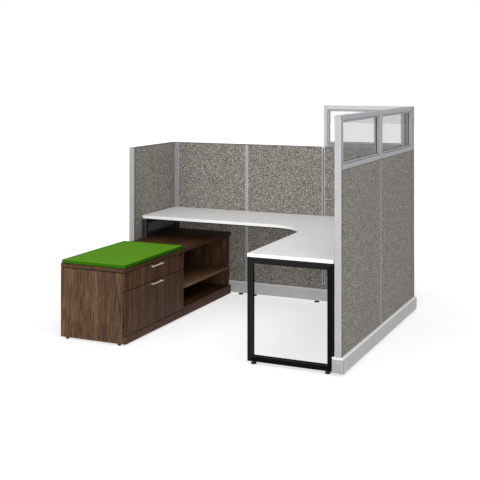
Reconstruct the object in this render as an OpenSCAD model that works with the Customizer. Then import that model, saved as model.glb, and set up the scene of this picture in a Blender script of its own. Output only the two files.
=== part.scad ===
// Cubicle workstation: three panel walls round an L-shaped worksurface, with a low credenza
// that carries a seat pad. Lengths are in millimetres and +Z is up.
// Building frame: X runs from the left wall's inner face, Y from the back wall's inner face
// (the open side lies towards -Y), and Z from the floor. It is centred as the last step.

/* [Walls] */
// Width of the back wall's left panel, between its post faces
back_left_w = 685; // [500:1:1000]
// Width of the back wall's middle panel
back_middle_w = 711; // [500:1:1000]
// Width of the back wall's right panel
back_right_w = 697; // [500:1:1000]
// Width of the left wall's panel
left_w = 697; // [650:1:1000]
// Width of the right wall's rear panel
right_rear_w = 900; // [700:1:1200]
// Width of the right wall's front panel
right_front_w = 914; // [700:1:1200]
// Thickness of every wall, face to face
wall_t = 48; // [44:1:70]
// Height of the low walls, with their top cap
low_h = 1327; // [1000:1:1500]
// Height of the glass frames that stand on the tall walls
glass_h = 351; // [200:1:500]
// Thickness of one fabric tile
tile_t = 11; // [8:1:13]
// Width of one post face beside a seam
stile_w = 14; // [12:1:18]
// Width of the plain filler between a corner post and the first post face
filler_w = 12; // [8:1:20]
// Thickness of the trim on a wall's free end
end_trim_t = 8; // [6:1:12]
// Thickness of the low walls' top cap
cap_t = 6; // [4:1:10]
// Sheet thickness of the steel frames and covers
gauge = 1.5; // [1:0.1:2]

/* [Base] */
// Height of the base covers' top edge above the floor
cover_h = 123; // [100:1:150]
// Height of the gap between the floor and the base covers
base_gap = 22; // [18:1:30]
// How far a base cover stands out from the wall's face
cover_e = 16; // [12:1:20]
// Thickness of the cap on a wall's free end at the base
base_cap_t = 7; // [5:1:10]
// Radius of a levelling pad under a wall
glide_r = 21.5; // [16:0.5:24]
// Distance from a panel's end to its levelling pad
glide_inset = 66; // [45:1:100]

/* [Glass frames] */
// Width of a glass frame bar's outer face
bar_w = 32; // [26:1:40]
// Width of the recessed glazing stop inside each bar
stop_w = 13; // [10:1:18]
// Depth of the glazing stop's face behind the bar's face
stop_recess = 9; // [6:1:12]
// Thickness of the glass
glass_t = 6; // [4:1:8]

/* [Worksurfaces] */
// Height of the worksurface's top face
desk_h = 742; // [690:1:790]
// Thickness of the worksurfaces
top_t = 29; // [22:1:32]
// Depth of the worksurfaces, from wall to front edge
top_d = 610; // [560:1:680]
// Width of the straight worksurface
straight_w = 1219; // [1000:1:1300]
// Radius of the inside corner
inside_r = 300; // [200:1:301]
// Radius of the outer corner at the left
outer_r = 20; // [5:1:40]
// Side of the square leg tube
tube = 38; // [30:1:45]
// Length of a cantilever bracket
bracket_l = 450; // [300:10:500]

/* [Credenza] */
// Height of the credenza's top face
cred_h = 552; // [510:1:580]
// Depth of the credenza, from its back to its drawer faces
cred_d = 550; // [500:1:600]
// Length of the credenza along the left wall
cred_l = 1797; // [1600:1:1800]
// Thickness of the credenza's top and shelf
slab_t = 29; // [22:1:32]
// Thickness of the carcass boards and drawer fronts
board_t = 19; // [16:1:20]
// Height of the lower drawer's front
lower_front_h = 318; // [300:1:330]
// Height of the shelf's top face
shelf_z = 251; // [220:1:300]
// Diameter of a credenza foot
foot_d = 16; // [12:1:18]
// Height of a credenza foot
foot_h = 12; // [10:1:16]
// Thickness of the seat pad
pad_t = 25; // [18:1:35]

/* [Drawers] */
// Travel of a drawer
travel = 430; // [350:5:440]
// Height of a drawer slide's cabinet member
slide_h = 45; // [40:1:50]
// Side room that a drawer slide takes
slide_t = 13; // [12.5:0.1:14]
// Length of a pull
pull_l = 165; // [130:1:200]
// Diameter of a pull's bar
pull_d = 10; // [8:0.5:12]
// Gap for the fingers behind a pull
pull_gap = 14; // [12:1:20]

/* [Hidden] */
$fn = 48;
over = 1;
run_gap = 0.5;
seat_gap = 0.3;
hole_gap = 0.05;
arc_steps = 6;

// Walls
arm = filler_w + stile_w;
in_w = 2 * arm + back_left_w + back_middle_w + back_right_w;
right_l = arm + right_rear_w + right_front_w + end_trim_t;
tall_h = low_h + glass_h;
seam_1 = arm + back_left_w;
seam_2 = seam_1 + back_middle_w;
seam_3 = -arm - right_rear_w;
stile_recess = 2;
rail_h = 30;
lower_rail_drop = 20;
lower_rail_z = cover_h - lower_rail_drop;
tile_gap = 0.5;
slot_w = 4;
slot_h = 13;
slot_pitch = 25.4;
slot_margin = 10;
slot_z0 = cover_h + 2 * slot_margin;
hook_t = 3;

// Base
cover_t = 2.5;
cover_round = 13;
cap_slope = 15;
cap_corner_r = 6;
cap_lip = 1;
cover_gap = 0.4;
glide_t = 9;
nut_t = 4;
stem_r = 5;

// Glass frames
glass_bite = 6;
glass_side = 1;
glass_start = 6;
bar_wall = 2;
trim_edge_r = 4;
rib_w = 3;
rib_depth = 1;
rib_inset = 10;

// Worksurfaces
side_gap = 2;
seam_gap = 0.5;
right_gap = 11;
return_setback = 19;
back_gap = 1;
corner_x0 = side_gap + straight_w + seam_gap;
corner_x1 = in_w - right_gap;
return_x = corner_x1 - top_d;
front_y = -back_gap - top_d;
return_y = -right_l + return_setback;
under_z = desk_h - top_t;
tube_wall = 2;
leg_side_gap = 1;
leg_x1 = in_w - cover_e - leg_side_gap;
leg_foot_h = 19;
leg_foot_t = 10;
leg_foot_r = 18.5;
leg_foot_inset = 40;
riser_x = 8;
plate_l = 100;
plate_w = 50;
plate_t = 3;
plate_places = [0.25, 0.75];
plate_edge = 15;
screw_r = 2.5;
screw_l = 20;
screw_head_r = 4.5;
screw_head_t = 3;
access_r = 5.5;
screw_inset = 90;
bracket_h = 100;
bracket_tip_h = 28;
flange_w = 30;
flange_start = 25;

// Credenza
cred_side_gap = 0.5;
cred_back_gap = 3;
cred_x0 = cover_e + cred_side_gap;
cred_x1 = cred_x0 + cred_d;
cred_y1 = -cover_e - cred_back_gap;
cred_y0 = cred_y1 - cred_l;
face_x = cred_x1 - board_t;
slab_z = cred_h - slab_t;
deck_z = 66;
front_gap = 3;
side_reveal = 1;
back_t = 16;
mid_y = (cred_y0 + cred_y1 - board_t) / 2;
front_up = 5;
lower_front_z = deck_z + front_up;
upper_front_z = lower_front_z + lower_front_h + front_gap;
upper_front_h = slab_z - front_gap - upper_front_z;
front_y0 = cred_y0 + side_reveal;
front_y1 = mid_y + board_t / 2 - side_reveal;
foot_inset = 54;
foot_stem_r = 4;
foot_stem_up = 25;
block_w = 48;

// Drawer boxes
side_t = 12;
bottom_t = 6;
bottom_up = 8;
box_y0 = cred_y0 + board_t + slide_t;
box_y1 = mid_y - slide_t;
box_back_gap = 45;
box_x0 = cred_x0 + back_t + box_back_gap;
box_up = 12;
upper_box_z = upper_front_z + box_up;
upper_box_h = 82;
lower_box_z = deck_z + board_t + box_up;
lower_box_h = 262;
upper_slide_z = upper_box_z + upper_box_h / 2;
lower_slide_z = lower_box_z + lower_box_h / 2;
slide_gauge = 1.2;
slide_stop = 20;
slide_l = travel + slide_stop;
slide_lip = 9;
slide_back_gap = 20;
slide_x0 = face_x - slide_l - slide_back_gap / 2;

// Pulls and lock
pull_post_r = 4;
pull_post_share = 0.39;
pull_drop = 15;
lock_inset = 38;
lock_drop = 17;
barrel_r = 9.5;
rim_r = 11;
rim_t = 1.5;
plug_r = 6.5;
plug_out = 1;
barrel_back = 4;
cam_t = 2;
cam_w = 9;
cam_l = 30;
keyway_w = 1.6;
keyway_h = 6;
keyway_depth = 3;
pocket_gap = 2;
pocket_depth = 12;

// Seat pad
pad_inset = 3;
pad_end_gap = 5;
pad_r = 28;
pad_draw = 4;
pad_crown = 4;
pad_edge_r = 10;
pad_side_steps = 10;
pad_rings = 6;

// The part's box, for centring it on the floor
mid_x = in_w / 2;
box_front = -right_l - base_cap_t;
box_rear = wall_t + cover_e;
mid_depth = (box_front + box_rear) / 2;

silver = "#b6b6b8";
fabric = "#7d7871";
white = "#f2f2f2";
black = "#262626";
walnut = "#5a4232";
steel = "#9a9ca0";

// A box from one corner to the other
module block(a, b) translate(a) cube(b - a);

// Points of an arc in one plane
function arc(c, r, a0, a1, n = arc_steps) =
  [for (i = [0:n]) let (a = a0 + (a1 - a0) * i / n) c + r * [cos(a), sin(a)]];

// Outline of a rectangle with round corners
function rounded(w, d, r) = concat(
  arc([w - r, d - r], r, 0, 90), arc([r, d - r], r, 90, 180),
  arc([r, r], r, 180, 270), arc([w - r, r], r, 270, 360));

// Wall panels are drawn flat: x along the wall, y from the inner face outwards
module on_left() translate([0, -arm - left_w, 0]) rotate(90) children();
module on_back(x) translate([x, 0, 0]) children();
module on_right(y) translate([in_w, y, 0]) rotate(-90) children();
module mirrored_at(w) translate([w, 0, 0]) mirror([1, 0, 0]) children();
module flipped_wall() translate([0, wall_t, 0]) mirror([0, 1, 0]) children();

// Half slots along a post's seam edge, through both of its faces
module half_slots(h) {
  count = floor((h - slot_margin - slot_z0) / slot_pitch);
  for (k = [0:count - 1])
    translate([-over, -over, slot_z0 + k * slot_pitch])
      cube([slot_w / 2 + over, wall_t + 2 * over, slot_h]);
}

// Steel channel with its open side at the seam
module stile(h) difference() {
  block([0, stile_recess, base_gap], [stile_w, wall_t - stile_recess, h]);
  block([-over, stile_recess + gauge, base_gap - over],
        [stile_w - gauge, wall_t - stile_recess - gauge, h + over]);
  half_slots(h);
}

// Square steel tube across a panel, between its stiles
module rail(w, z, bores) difference() {
  block([stile_w, tile_t, z], [w - stile_w, wall_t - tile_t, z + rail_h]);
  block([stile_w - over, tile_t + gauge, z + gauge],
        [w - stile_w + over, wall_t - tile_t - gauge, z + rail_h - gauge]);
  if (bores) for (x = [glide_inset, w - glide_inset])
    translate([x, wall_t / 2, z - over]) cylinder(r = stem_r + hole_gap, h = gauge + 2 * over);
}

module frame(w, h) {
  stile(h);
  mirrored_at(w) stile(h);
  rail(w, base_gap, true);
  rail(w, lower_rail_z, false);
  rail(w, h - rail_h, false);
}

module core(w, h)
  block([stile_w, tile_t, lower_rail_z + rail_h], [w - stile_w, wall_t - tile_t, h - rail_h]);

module tile(w, h)
  block([stile_w + tile_gap, 0, cover_h + tile_gap], [w - stile_w - tile_gap, tile_t, h]);

low_frame_h = low_h - cap_t;

module left_frame() color(steel) on_left() frame(left_w, low_frame_h);
module back_left_frame() color(steel) on_back(arm) frame(back_left_w, low_frame_h);
module back_middle_frame() color(steel) on_back(seam_1) frame(back_middle_w, low_frame_h);
module back_right_frame() color(steel) on_back(seam_2) frame(back_right_w, low_h);
module right_rear_frame() color(steel) on_right(-arm) frame(right_rear_w, low_h);
module right_front_frame() color(steel) on_right(seam_3) frame(right_front_w, low_h);

module panel_cores() color("tan") {
  on_left() core(left_w, low_frame_h);
  on_back(arm) core(back_left_w, low_frame_h);
  on_back(seam_1) core(back_middle_w, low_frame_h);
  on_back(seam_2) core(back_right_w, low_h);
  on_right(-arm) core(right_rear_w, low_h);
  on_right(seam_3) core(right_front_w, low_h);
}

module left_tile() color(fabric) on_left() tile(left_w, low_frame_h);
module back_left_tile() color(fabric) on_back(arm) tile(back_left_w, low_frame_h);
module back_middle_tile() color(fabric) on_back(seam_1) tile(back_middle_w, low_frame_h);
module back_right_tile() color(fabric) on_back(seam_2) tile(back_right_w, low_h);
module right_rear_tile() color(fabric) on_right(-arm) tile(right_rear_w, low_h);
module right_front_tile() color(fabric) on_right(seam_3) tile(right_front_w, low_h);

module left_outer_tile() color(fabric) on_left() flipped_wall() tile(left_w, low_frame_h);
module back_outer_tiles() color(fabric) flipped_wall() {
  on_back(arm) tile(back_left_w, low_frame_h);
  on_back(seam_1) tile(back_middle_w, low_frame_h);
  on_back(seam_2) tile(back_right_w, low_h);
}
module right_outer_tiles() color(fabric) {
  on_right(-arm) flipped_wall() tile(right_rear_w, low_h);
  on_right(seam_3) flipped_wall() tile(right_front_w, low_h);
}

// Bar of a glass frame, drawn along z: a hollow tube with the glazing stop on its inner side
module bar(l, stop_l, lid) {
  difference() {
    cube([bar_w, wall_t, l]);
    block([bar_wall, bar_wall, -over], [bar_w - bar_wall, wall_t - bar_wall, l - lid]);
  }
  translate([bar_w, stop_recess, (l - stop_l) / 2]) linear_extrude(stop_l) difference() {
    square([stop_w, wall_t - 2 * stop_recess]);
    translate([stop_w - glass_bite - hole_gap, (wall_t - glass_t) / 2 - stop_recess - hole_gap])
      square([glass_bite + hole_gap + over, glass_t + 2 * hole_gap]);
  }
}

// Four bars round one pane, from x0 to x1 along the wall
module glass_frame(x0, x1) {
  inner = x1 - x0 - 2 * bar_w;
  translate([x0, 0, low_h]) bar(glass_h, glass_h - 2 * bar_w, bar_wall);
  translate([x1, 0, low_h]) mirror([1, 0, 0]) bar(glass_h, glass_h - 2 * bar_w, bar_wall);
  translate([x0 + bar_w, 0, low_h]) mirror([1, 0, -1]) bar(inner, inner - 2 * stop_w, -over);
  translate([x0 + bar_w, 0, tall_h]) mirror([0, 0, 1]) mirror([1, 0, -1])
    bar(inner, inner - 2 * stop_w, -over);
}

module pane(x0, x1) {
  edge = bar_w + stop_w - glass_bite;
  block([x0 + edge, (wall_t - glass_t) / 2, low_h + edge],
        [x1 - edge, (wall_t + glass_t) / 2, tall_h - edge]);
}

// Start and end of each glass frame along its panel
back_glass = [glass_start, back_right_w + stile_w];
rear_glass = [-stile_w, right_rear_w - glass_side];
front_glass = [glass_side, right_front_w];

module back_glass_frame() color(silver) on_back(seam_2) glass_frame(back_glass[0], back_glass[1]);
module right_rear_glass_frame() color(silver) on_right(-arm) glass_frame(rear_glass[0], rear_glass[1]);
module right_front_glass_frame() color(silver)
  on_right(seam_3) glass_frame(front_glass[0], front_glass[1]);

module glass_panes() color([0.8, 0.85, 0.86, 0.4]) {
  on_back(seam_2) pane(back_glass[0], back_glass[1]);
  on_right(-arm) pane(rear_glass[0], rear_glass[1]);
  on_right(seam_3) pane(front_glass[0], front_glass[1]);
}

// Arm of a corner post: a filler, then a half post whose open side faces the first panel
module corner_arm(h) difference() {
  block([0, stile_recess, base_gap], [arm, wall_t - stile_recess, h]);
  block([filler_w, stile_recess + gauge, base_gap - over],
        [arm + over, wall_t - stile_recess - gauge, h + over]);
  mirrored_at(arm) half_slots(h);
}

// Post at a 90 degree corner, drawn for the left corner: a square core and two arms
module corner_post(h, arm_h) {
  difference() {
    translate([-wall_t, 0, base_gap]) linear_extrude(h - base_gap)
      polygon(concat([[wall_t, 0], [wall_t, wall_t]],
                     arc([trim_edge_r, wall_t - trim_edge_r], trim_edge_r, 90, 180), [[0, 0]]));
    block([-wall_t + bar_wall, bar_wall, base_gap - over], [-bar_wall, wall_t - bar_wall, h - bar_wall]);
  }
  corner_arm(arm_h);
  translate([-wall_t, 0, 0]) rotate(-90) corner_arm(arm_h);
  if (h > arm_h) for (turn = [0, 1])
    translate([-turn * wall_t, 0, 0]) rotate(-90 * turn)
      block([0, tile_t, arm_h], [filler_w, wall_t - tile_t, h]);
}

module low_corner_post() color(silver) corner_post(low_frame_h, low_frame_h);
module tall_corner_post() color(silver) mirrored_at(in_w) corner_post(tall_h, low_h);

// Trim on a wall's free end, with eased edges and two shallow ribs
module end_trim(h) difference() {
  translate([-end_trim_t, 0, base_gap]) linear_extrude(h - base_gap)
    polygon(concat([[end_trim_t, 0], [end_trim_t, wall_t]],
                   arc([trim_edge_r, wall_t - trim_edge_r], trim_edge_r, 90, 180),
                   arc([trim_edge_r, trim_edge_r], trim_edge_r, 180, 270)));
  for (y = [rib_inset, wall_t - rib_inset])
    block([-end_trim_t - over, y - rib_w / 2, cover_h],
          [-end_trim_t + rib_depth, y + rib_w / 2, h + over]);
}

module left_end_trim() color(silver) on_left() end_trim(low_h);
module right_end_trim() color(silver)
  on_right(seam_3) mirrored_at(right_front_w) end_trim(tall_h);

// Top cap over one stretch of low wall
module cap(x0, x1) translate([x0, 0, low_frame_h])
  rotate([90, 0, 90]) linear_extrude(x1 - x0 - cover_gap)
    polygon(concat([[wall_t, 0]], arc([wall_t - cap_t / 2, cap_t / 2], cap_t / 2, 0, 90),
                   arc([cap_t / 2, cap_t / 2], cap_t / 2, 90, 180), [[0, 0]]));

module top_caps() color(silver) {
  on_left() cap(0, left_w + arm);
  on_back(0) cap(-wall_t, seam_1);
  on_back(seam_1) cap(0, back_middle_w);
}

// Base cover: a face with a rounded ledge that ends at the wall's face
module cover_face() polygon(concat(
  [[0, cover_h], [0, cover_h - cover_t]],
  arc([-cover_e + cover_round, cover_h - cover_round], cover_round - cover_t, 90, 180),
  [[-cover_e + cover_t, base_gap], [-cover_e, base_gap]],
  arc([-cover_e + cover_round, cover_h - cover_round], cover_round, 180, 90)));

// Cover from x0 to x1 with two lips that clip on the rails of a panel w wide. m0 and m1 mitre its
// ends: longer at an outer corner, shorter at an inner one
module base_cover(w, x0, x1, m0 = 0, m1 = 0) {
  reach = cover_e + over;
  intersection() {
    translate([x0 - reach, 0, 0]) rotate([90, 0, 90])
      linear_extrude(x1 - x0 + 2 * reach) cover_face();
    translate([cover_gap / 2, 0, 0]) linear_extrude(cover_h + over) polygon([
      [x0, 0], [x0 - m0 * reach, -reach],
      [x1 + m1 * reach - cover_gap, -reach], [x1 - cover_gap, 0]]);
  }
  for (lip = [[base_gap, cover_t / 2 - cover_e], [cover_h - cover_t, cover_round - cover_e]])
    block([stile_w + tile_gap, lip[1], lip[0]],
          [w - stile_w - tile_gap, tile_t, lip[0] + cover_t]);
}

module inner_base_covers() color(silver) {
  on_left() base_cover(left_w, -end_trim_t, left_w + arm, m1 = -1);
  on_back(arm) base_cover(back_left_w, -arm, back_left_w, m0 = -1);
  on_back(seam_1) base_cover(back_middle_w, 0, back_middle_w);
  on_back(seam_2) base_cover(back_right_w, 0, back_right_w + arm, m1 = -1);
  on_right(-arm) base_cover(right_rear_w, -arm, right_rear_w, m0 = -1);
  on_right(seam_3) base_cover(right_front_w, 0, right_front_w + end_trim_t);
}

module outer_base_covers() color(silver) {
  on_left() flipped_wall() base_cover(left_w, -end_trim_t, left_w + arm + wall_t, m1 = 1);
  flipped_wall() {
    on_back(arm) base_cover(back_left_w, -arm - wall_t, back_left_w, m0 = 1);
    on_back(seam_1) base_cover(back_middle_w, 0, back_middle_w);
    on_back(seam_2) base_cover(back_right_w, 0, back_right_w + arm + wall_t, m1 = 1);
  }
  on_right(-arm) flipped_wall() base_cover(right_rear_w, -arm - wall_t, right_rear_w, m0 = 1);
  on_right(seam_3) flipped_wall() base_cover(right_front_w, 0, right_front_w + end_trim_t);
}

// Cap over the ends of both base covers, with round corners and a sloped top
module base_end_cap() {
  w = wall_t + 2 * cover_e;
  t = base_cap_t;
  translate([-end_trim_t, -cover_e, 0]) rotate(90) intersection() {
    linear_extrude(cover_h) polygon(concat([[0, 0], [w, 0]],
      arc([w - cap_corner_r, t - cap_corner_r], cap_corner_r, 0, 90),
      arc([cap_corner_r, t - cap_corner_r], cap_corner_r, 90, 180)));
    translate([-over, 0, 0]) rotate([90, 0, 90]) linear_extrude(w + 2 * over)
      polygon([[-over, base_gap], [t + over, base_gap], [t + over, cover_h - cap_slope],
               [cap_lip, cover_h], [-over, cover_h]]);
  }
}

module base_end_caps() color(silver) {
  on_left() base_end_cap();
  on_right(seam_3) mirrored_at(right_front_w) base_end_cap();
}

module glide(r, t, top) {
  cylinder(r = r, h = t);
  cylinder(r = 2 * stem_r, h = t + nut_t);
  cylinder(r = stem_r, h = top);
}

module glide_pair(w) for (x = [glide_inset, w - glide_inset])
  translate([x, wall_t / 2, 0]) glide(glide_r, glide_t, base_gap + rail_h / 2);

module panel_glides() color(black) {
  on_left() glide_pair(left_w);
  on_back(arm) glide_pair(back_left_w);
  on_back(seam_1) glide_pair(back_middle_w);
  on_back(seam_2) glide_pair(back_right_w);
  on_right(-arm) glide_pair(right_rear_w);
  on_right(seam_3) glide_pair(right_front_w);
}

// Screw driven upwards, its head's underside at z = 0
module screw() {
  cylinder(r = screw_r, h = screw_l);
  translate([0, 0, -screw_head_t]) cylinder(r = screw_head_r, h = screw_head_t);
}
module screw_hole(depth) translate([0, 0, -over]) cylinder(r = screw_r + hole_gap, h = depth + over);

// Where each group of screws starts: plan place and the height of the surface under the head
leg_y = return_y + tube / 2;
leg_x0 = return_x;
leg_screws = [for (x = [leg_x0 + screw_inset, leg_x1 - screw_inset])
  [x, leg_y, under_z - tube_wall]];
riser_y0 = front_y;
riser_y1 = -back_gap;
riser_ys = [riser_y0 + screw_inset, riser_y1 - screw_inset];
riser_screws = [for (y = riser_ys) [riser_x + tube / 2, y, under_z - tube_wall]];
plate_x = side_gap + straight_w + seam_gap / 2;
plate_ys = [for (share = plate_places) -back_gap - top_d * share];
plate_screws = [for (y = plate_ys, i = [-1, 1], j = [-1, 1])
  [plate_x + i * (plate_l / 2 - plate_edge), y + j * (plate_w / 2 - plate_edge), under_z - plate_t]];
flange_ends = [flange_start + plate_edge, bracket_l - plate_edge];
bracket_screws = concat(
  [for (x = [seam_1, seam_2], d = flange_ends) [x + flange_w / 4, -d, under_z - hook_t]],
  [for (d = flange_ends) [in_w - d, seam_3 + flange_w / 4, under_z - hook_t]]);
top_screws = concat(leg_screws, riser_screws, plate_screws, bracket_screws);

module top_holes() for (p = top_screws) translate(p) screw_hole(screw_l + hole_gap);

// Straight worksurface, with a round front corner at the left wall
module straight_worksurface() color(white) difference() {
  translate([side_gap, front_y, under_z]) linear_extrude(top_t) polygon(concat(
    [[straight_w, 0], [straight_w, top_d], [0, top_d]],
    arc([outer_r, outer_r], outer_r, 180, 270)));
  top_holes();
}

// Corner worksurface, whose front edge sweeps round the inside corner into the return
module corner_worksurface() color(white) {
  r = min(inside_r, return_x - corner_x0 - over);
  difference() {
    translate([0, 0, under_z]) linear_extrude(top_t) polygon(concat(
      [[corner_x0, front_y]],
      arc([return_x - r, front_y - r], r, 90, 0, 2 * arc_steps),
      [[return_x, return_y], [corner_x1, return_y], [corner_x1, -back_gap], [corner_x0, -back_gap]]));
    top_holes();
  }
}

// Square tube laid along x, closed at both ends
module square_tube(l) difference() {
  cube([l, tube, tube]);
  translate([tube_wall, tube_wall, tube_wall])
    cube([l - 2 * tube_wall, tube - 2 * tube_wall, tube - 2 * tube_wall]);
}
module upright(h) difference() {
  cube([tube, tube, h]);
  translate([tube_wall, tube_wall, -over])
    cube([tube - 2 * tube_wall, tube - 2 * tube_wall, h + 2 * over]);
}
module access_hole(p) translate([p.x, p.y, p.z - tube + tube_wall - over])
  cylinder(r = access_r, h = tube_wall + 2 * over);

// Welded loop of four tubes under the return's front end
module loop_leg() color(black) {
  l = leg_x1 - leg_x0;
  h = under_z - leg_foot_h;
  difference() {
    translate([leg_x0, return_y, under_z - tube]) square_tube(l);
    for (p = leg_screws) { translate(p) screw_hole(tube_wall + over); access_hole(p); }
  }
  difference() {
    translate([leg_x0, return_y, leg_foot_h]) square_tube(l);
    for (x = [leg_x0 + leg_foot_inset, leg_x1 - leg_foot_inset])
      translate([x, leg_y, leg_foot_h - over])
        cylinder(r = stem_r + hole_gap, h = tube_wall + 2 * over);
  }
  for (x = [leg_x0, leg_x1 - tube])
    translate([x, return_y, leg_foot_h + tube]) upright(h - 2 * tube);
}

module loop_leg_feet() color(black) for (x = [leg_x0 + leg_foot_inset, leg_x1 - leg_foot_inset])
  translate([x, leg_y, 0]) {
    cylinder(r = leg_foot_r, h = leg_foot_t);
    cylinder(r = stem_r, h = leg_foot_h + tube / 2);
    cylinder(r = 2 * stem_r, h = leg_foot_h);
  }

// Low loop that carries the straight worksurface on the credenza's top
module riser_leg() color(black) translate([riser_x, 0, 0]) {
  l = riser_y1 - riser_y0;
  for (z = [cred_h, under_z - tube]) difference() {
    translate([tube, riser_y0, z]) rotate(90) square_tube(l);
    for (y = riser_ys) translate([tube / 2, y, z - over]) {
      upper = z > cred_h;
      cylinder(r = upper ? access_r : screw_r + hole_gap, h = tube_wall + 2 * over);
      translate([0, 0, tube - tube_wall])
        cylinder(r = upper ? screw_r + hole_gap : access_r, h = tube_wall + 2 * over);
    }
  }
  for (y = [riser_y0, riser_y1 - tube])
    translate([0, y, cred_h + tube]) upright(under_z - cred_h - 2 * tube);
}

// Cantilever bracket, drawn for the back wall at x = 0: a tapered plate with two hooks in the
// slots, and a flange under the top
module bracket() {
  k = floor((under_z - slot_margin - slot_h - slot_z0) / slot_pitch);
  hook_gap = (slot_w - hook_t) / 2;
  tongue = stile_recess + gauge + hook_gap;
  translate([hook_t / 2, 0, 0]) rotate([90, 0, -90]) linear_extrude(hook_t) polygon([
    [-stile_recess, under_z], [bracket_l, under_z], [bracket_l, under_z - bracket_tip_h],
    [2 * flange_start, under_z - bracket_h], [-stile_recess, under_z - bracket_h]]);
  block([-flange_w / 2, -bracket_l, under_z - hook_t], [flange_w / 2, -flange_start, under_z]);
  for (i = [0, 2]) translate([-hook_t / 2, 0, slot_z0 + (k - i) * slot_pitch]) {
    cube([hook_t, tongue + hook_t, slot_h / 2]);
    translate([0, tongue, -slot_h / 4]) cube([hook_t, hook_t, slot_h / 2]);
  }
}

module worksurface_brackets() color(steel) difference() {
  union() {
    for (x = [seam_1, seam_2]) translate([x, 0, 0]) bracket();
    translate([in_w, seam_3, 0]) rotate(-90) bracket();
  }
  for (p = bracket_screws) translate(p) screw_hole(hook_t + over);
}

// Flat plates under the seam between the two worksurfaces
module joining_plates() color(steel) difference() {
  for (y = plate_ys) block([plate_x - plate_l / 2, y - plate_w / 2, under_z - plate_t],
                           [plate_x + plate_l / 2, y + plate_w / 2, under_z]);
  for (p = plate_screws) translate(p) screw_hole(plate_t + over);
}

riser_foot_screws = [for (y = riser_ys) [riser_x + tube / 2, y, cred_h + tube_wall]];
module worksurface_screws() color(steel) {
  for (p = top_screws) translate(p) screw();
  for (p = riser_foot_screws) translate(p) mirror([0, 0, 1]) screw();
}

// Credenza top, with a pocket that the lock's cam turns up into
lock_y = front_y1 - lock_inset;
lock_z = upper_front_z + upper_front_h - lock_drop;
cam_x = face_x - barrel_back - cam_t;
cam_sweep = sqrt(pow(cam_l, 2) + pow(cam_w / 2, 2) - pow(slab_z - lock_z, 2));
module credenza_top() color(walnut) difference() {
  block([cred_x0, cred_y0, slab_z], [cred_x1, cred_y1, cred_h]);
  block([cam_x - pocket_gap, lock_y - cam_sweep - pocket_gap, slab_z - over],
        [cam_x + cam_t + pocket_gap, lock_y + cam_w / 2 + pocket_gap, slab_z + pocket_depth]);
  for (p = riser_foot_screws) translate(p) mirror([0, 0, 1]) screw_hole(screw_l + hole_gap);
}

// Where the feet stand: under the end panels, and under the deck at the centre partition
foot_xs = [cred_x0 + foot_inset, cred_x1 - foot_inset];
foot_ys = [cred_y0 + board_t / 2, mid_y + board_t / 2, cred_y1 - board_t / 2];
module foot_holes() for (x = foot_xs, y = foot_ys) translate([x, y, foot_h - over])
  cylinder(r = foot_stem_r + hole_gap, h = foot_stem_up + hole_gap + over);

module carcass_side(y) difference() {
  block([cred_x0, y, foot_h], [face_x, y + board_t, slab_z]);
  foot_holes();
}
module front_end_panel() color(walnut) carcass_side(cred_y0);
module rear_end_panel() color(walnut) carcass_side(cred_y1 - board_t);
module centre_partition() color(walnut)
  block([cred_x0 + back_t, mid_y, deck_z + board_t], [face_x, mid_y + board_t, slab_z]);
module credenza_back() color(walnut)
  block([cred_x0, cred_y0 + board_t, deck_z], [cred_x0 + back_t, cred_y1 - board_t, slab_z]);
module credenza_deck() color(walnut) block([cred_x0 + back_t, cred_y0 + board_t, deck_z],
                                           [face_x, cred_y1 - board_t, deck_z + board_t]);

// Plinth in line with the drawer fronts, stepped up to the deck's top in the open half, and the
// two blocks under the deck that take the middle feet
module plinth() color(walnut) {
  difference() {
    block([face_x, cred_y0 + side_reveal, foot_h],
          [cred_x1, cred_y1 - side_reveal, deck_z + board_t]);
    block([face_x - over, cred_y0, lower_front_z - front_gap],
          [cred_x1 + over, front_y1 + front_gap, deck_z + board_t + over]);
  }
  for (x = foot_xs) difference() {
    block([x - block_w / 2, foot_ys[1] - block_w / 2, foot_h],
          [x + block_w / 2, foot_ys[1] + block_w / 2, deck_z]);
    foot_holes();
  }
}

module credenza_feet() color(black) for (x = foot_xs, y = foot_ys) translate([x, y, 0]) {
  cylinder(d = foot_d, h = foot_h);
  cylinder(r = foot_stem_r, h = foot_h + foot_stem_up);
}

module bay_shelf() color(walnut) block([cred_x0 + back_t, mid_y + board_t, shelf_z - slab_t],
                                       [face_x, cred_y1 - board_t, shelf_z]);

module lower_drawer_front() color(walnut)
  block([face_x, front_y0, lower_front_z], [cred_x1, front_y1, lower_front_z + lower_front_h]);
module upper_drawer_front() color(walnut) difference() {
  block([face_x, front_y0, upper_front_z], [cred_x1, front_y1, upper_front_z + upper_front_h]);
  translate([face_x - over, lock_y, lock_z]) rotate([0, 90, 0])
    cylinder(r = barrel_r + hole_gap, h = board_t + 2 * over);
}

// Drawer box of five boards: two sides, a front, a back and a raised bottom
module drawer_box(z, h) color("#c9ab84") {
  for (y = [box_y0, box_y1 - side_t]) block([box_x0, y, z], [face_x, y + side_t, z + h]);
  for (x = [box_x0, face_x - side_t])
    block([x, box_y0 + side_t, z], [x + side_t, box_y1 - side_t, z + h]);
  block([box_x0 + side_t, box_y0 + side_t, z + bottom_up],
        [face_x - side_t, box_y1 - side_t, z + bottom_up + bottom_t]);
}
module upper_drawer_box() drawer_box(upper_box_z, upper_box_h);
module lower_drawer_box() drawer_box(lower_box_z, lower_box_h);

// Channel of a drawer slide along x: its web starts at y = web and its lips reach to y = lip
module channel(half, web, lip) {
  back = lip > web ? web : web - slide_gauge;
  block([0, back, -half], [slide_l, back + slide_gauge, half]);
  for (z = [-half, half - slide_gauge])
    block([0, min(web, lip), z], [slide_l, max(web, lip), z + slide_gauge]);
}

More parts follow.
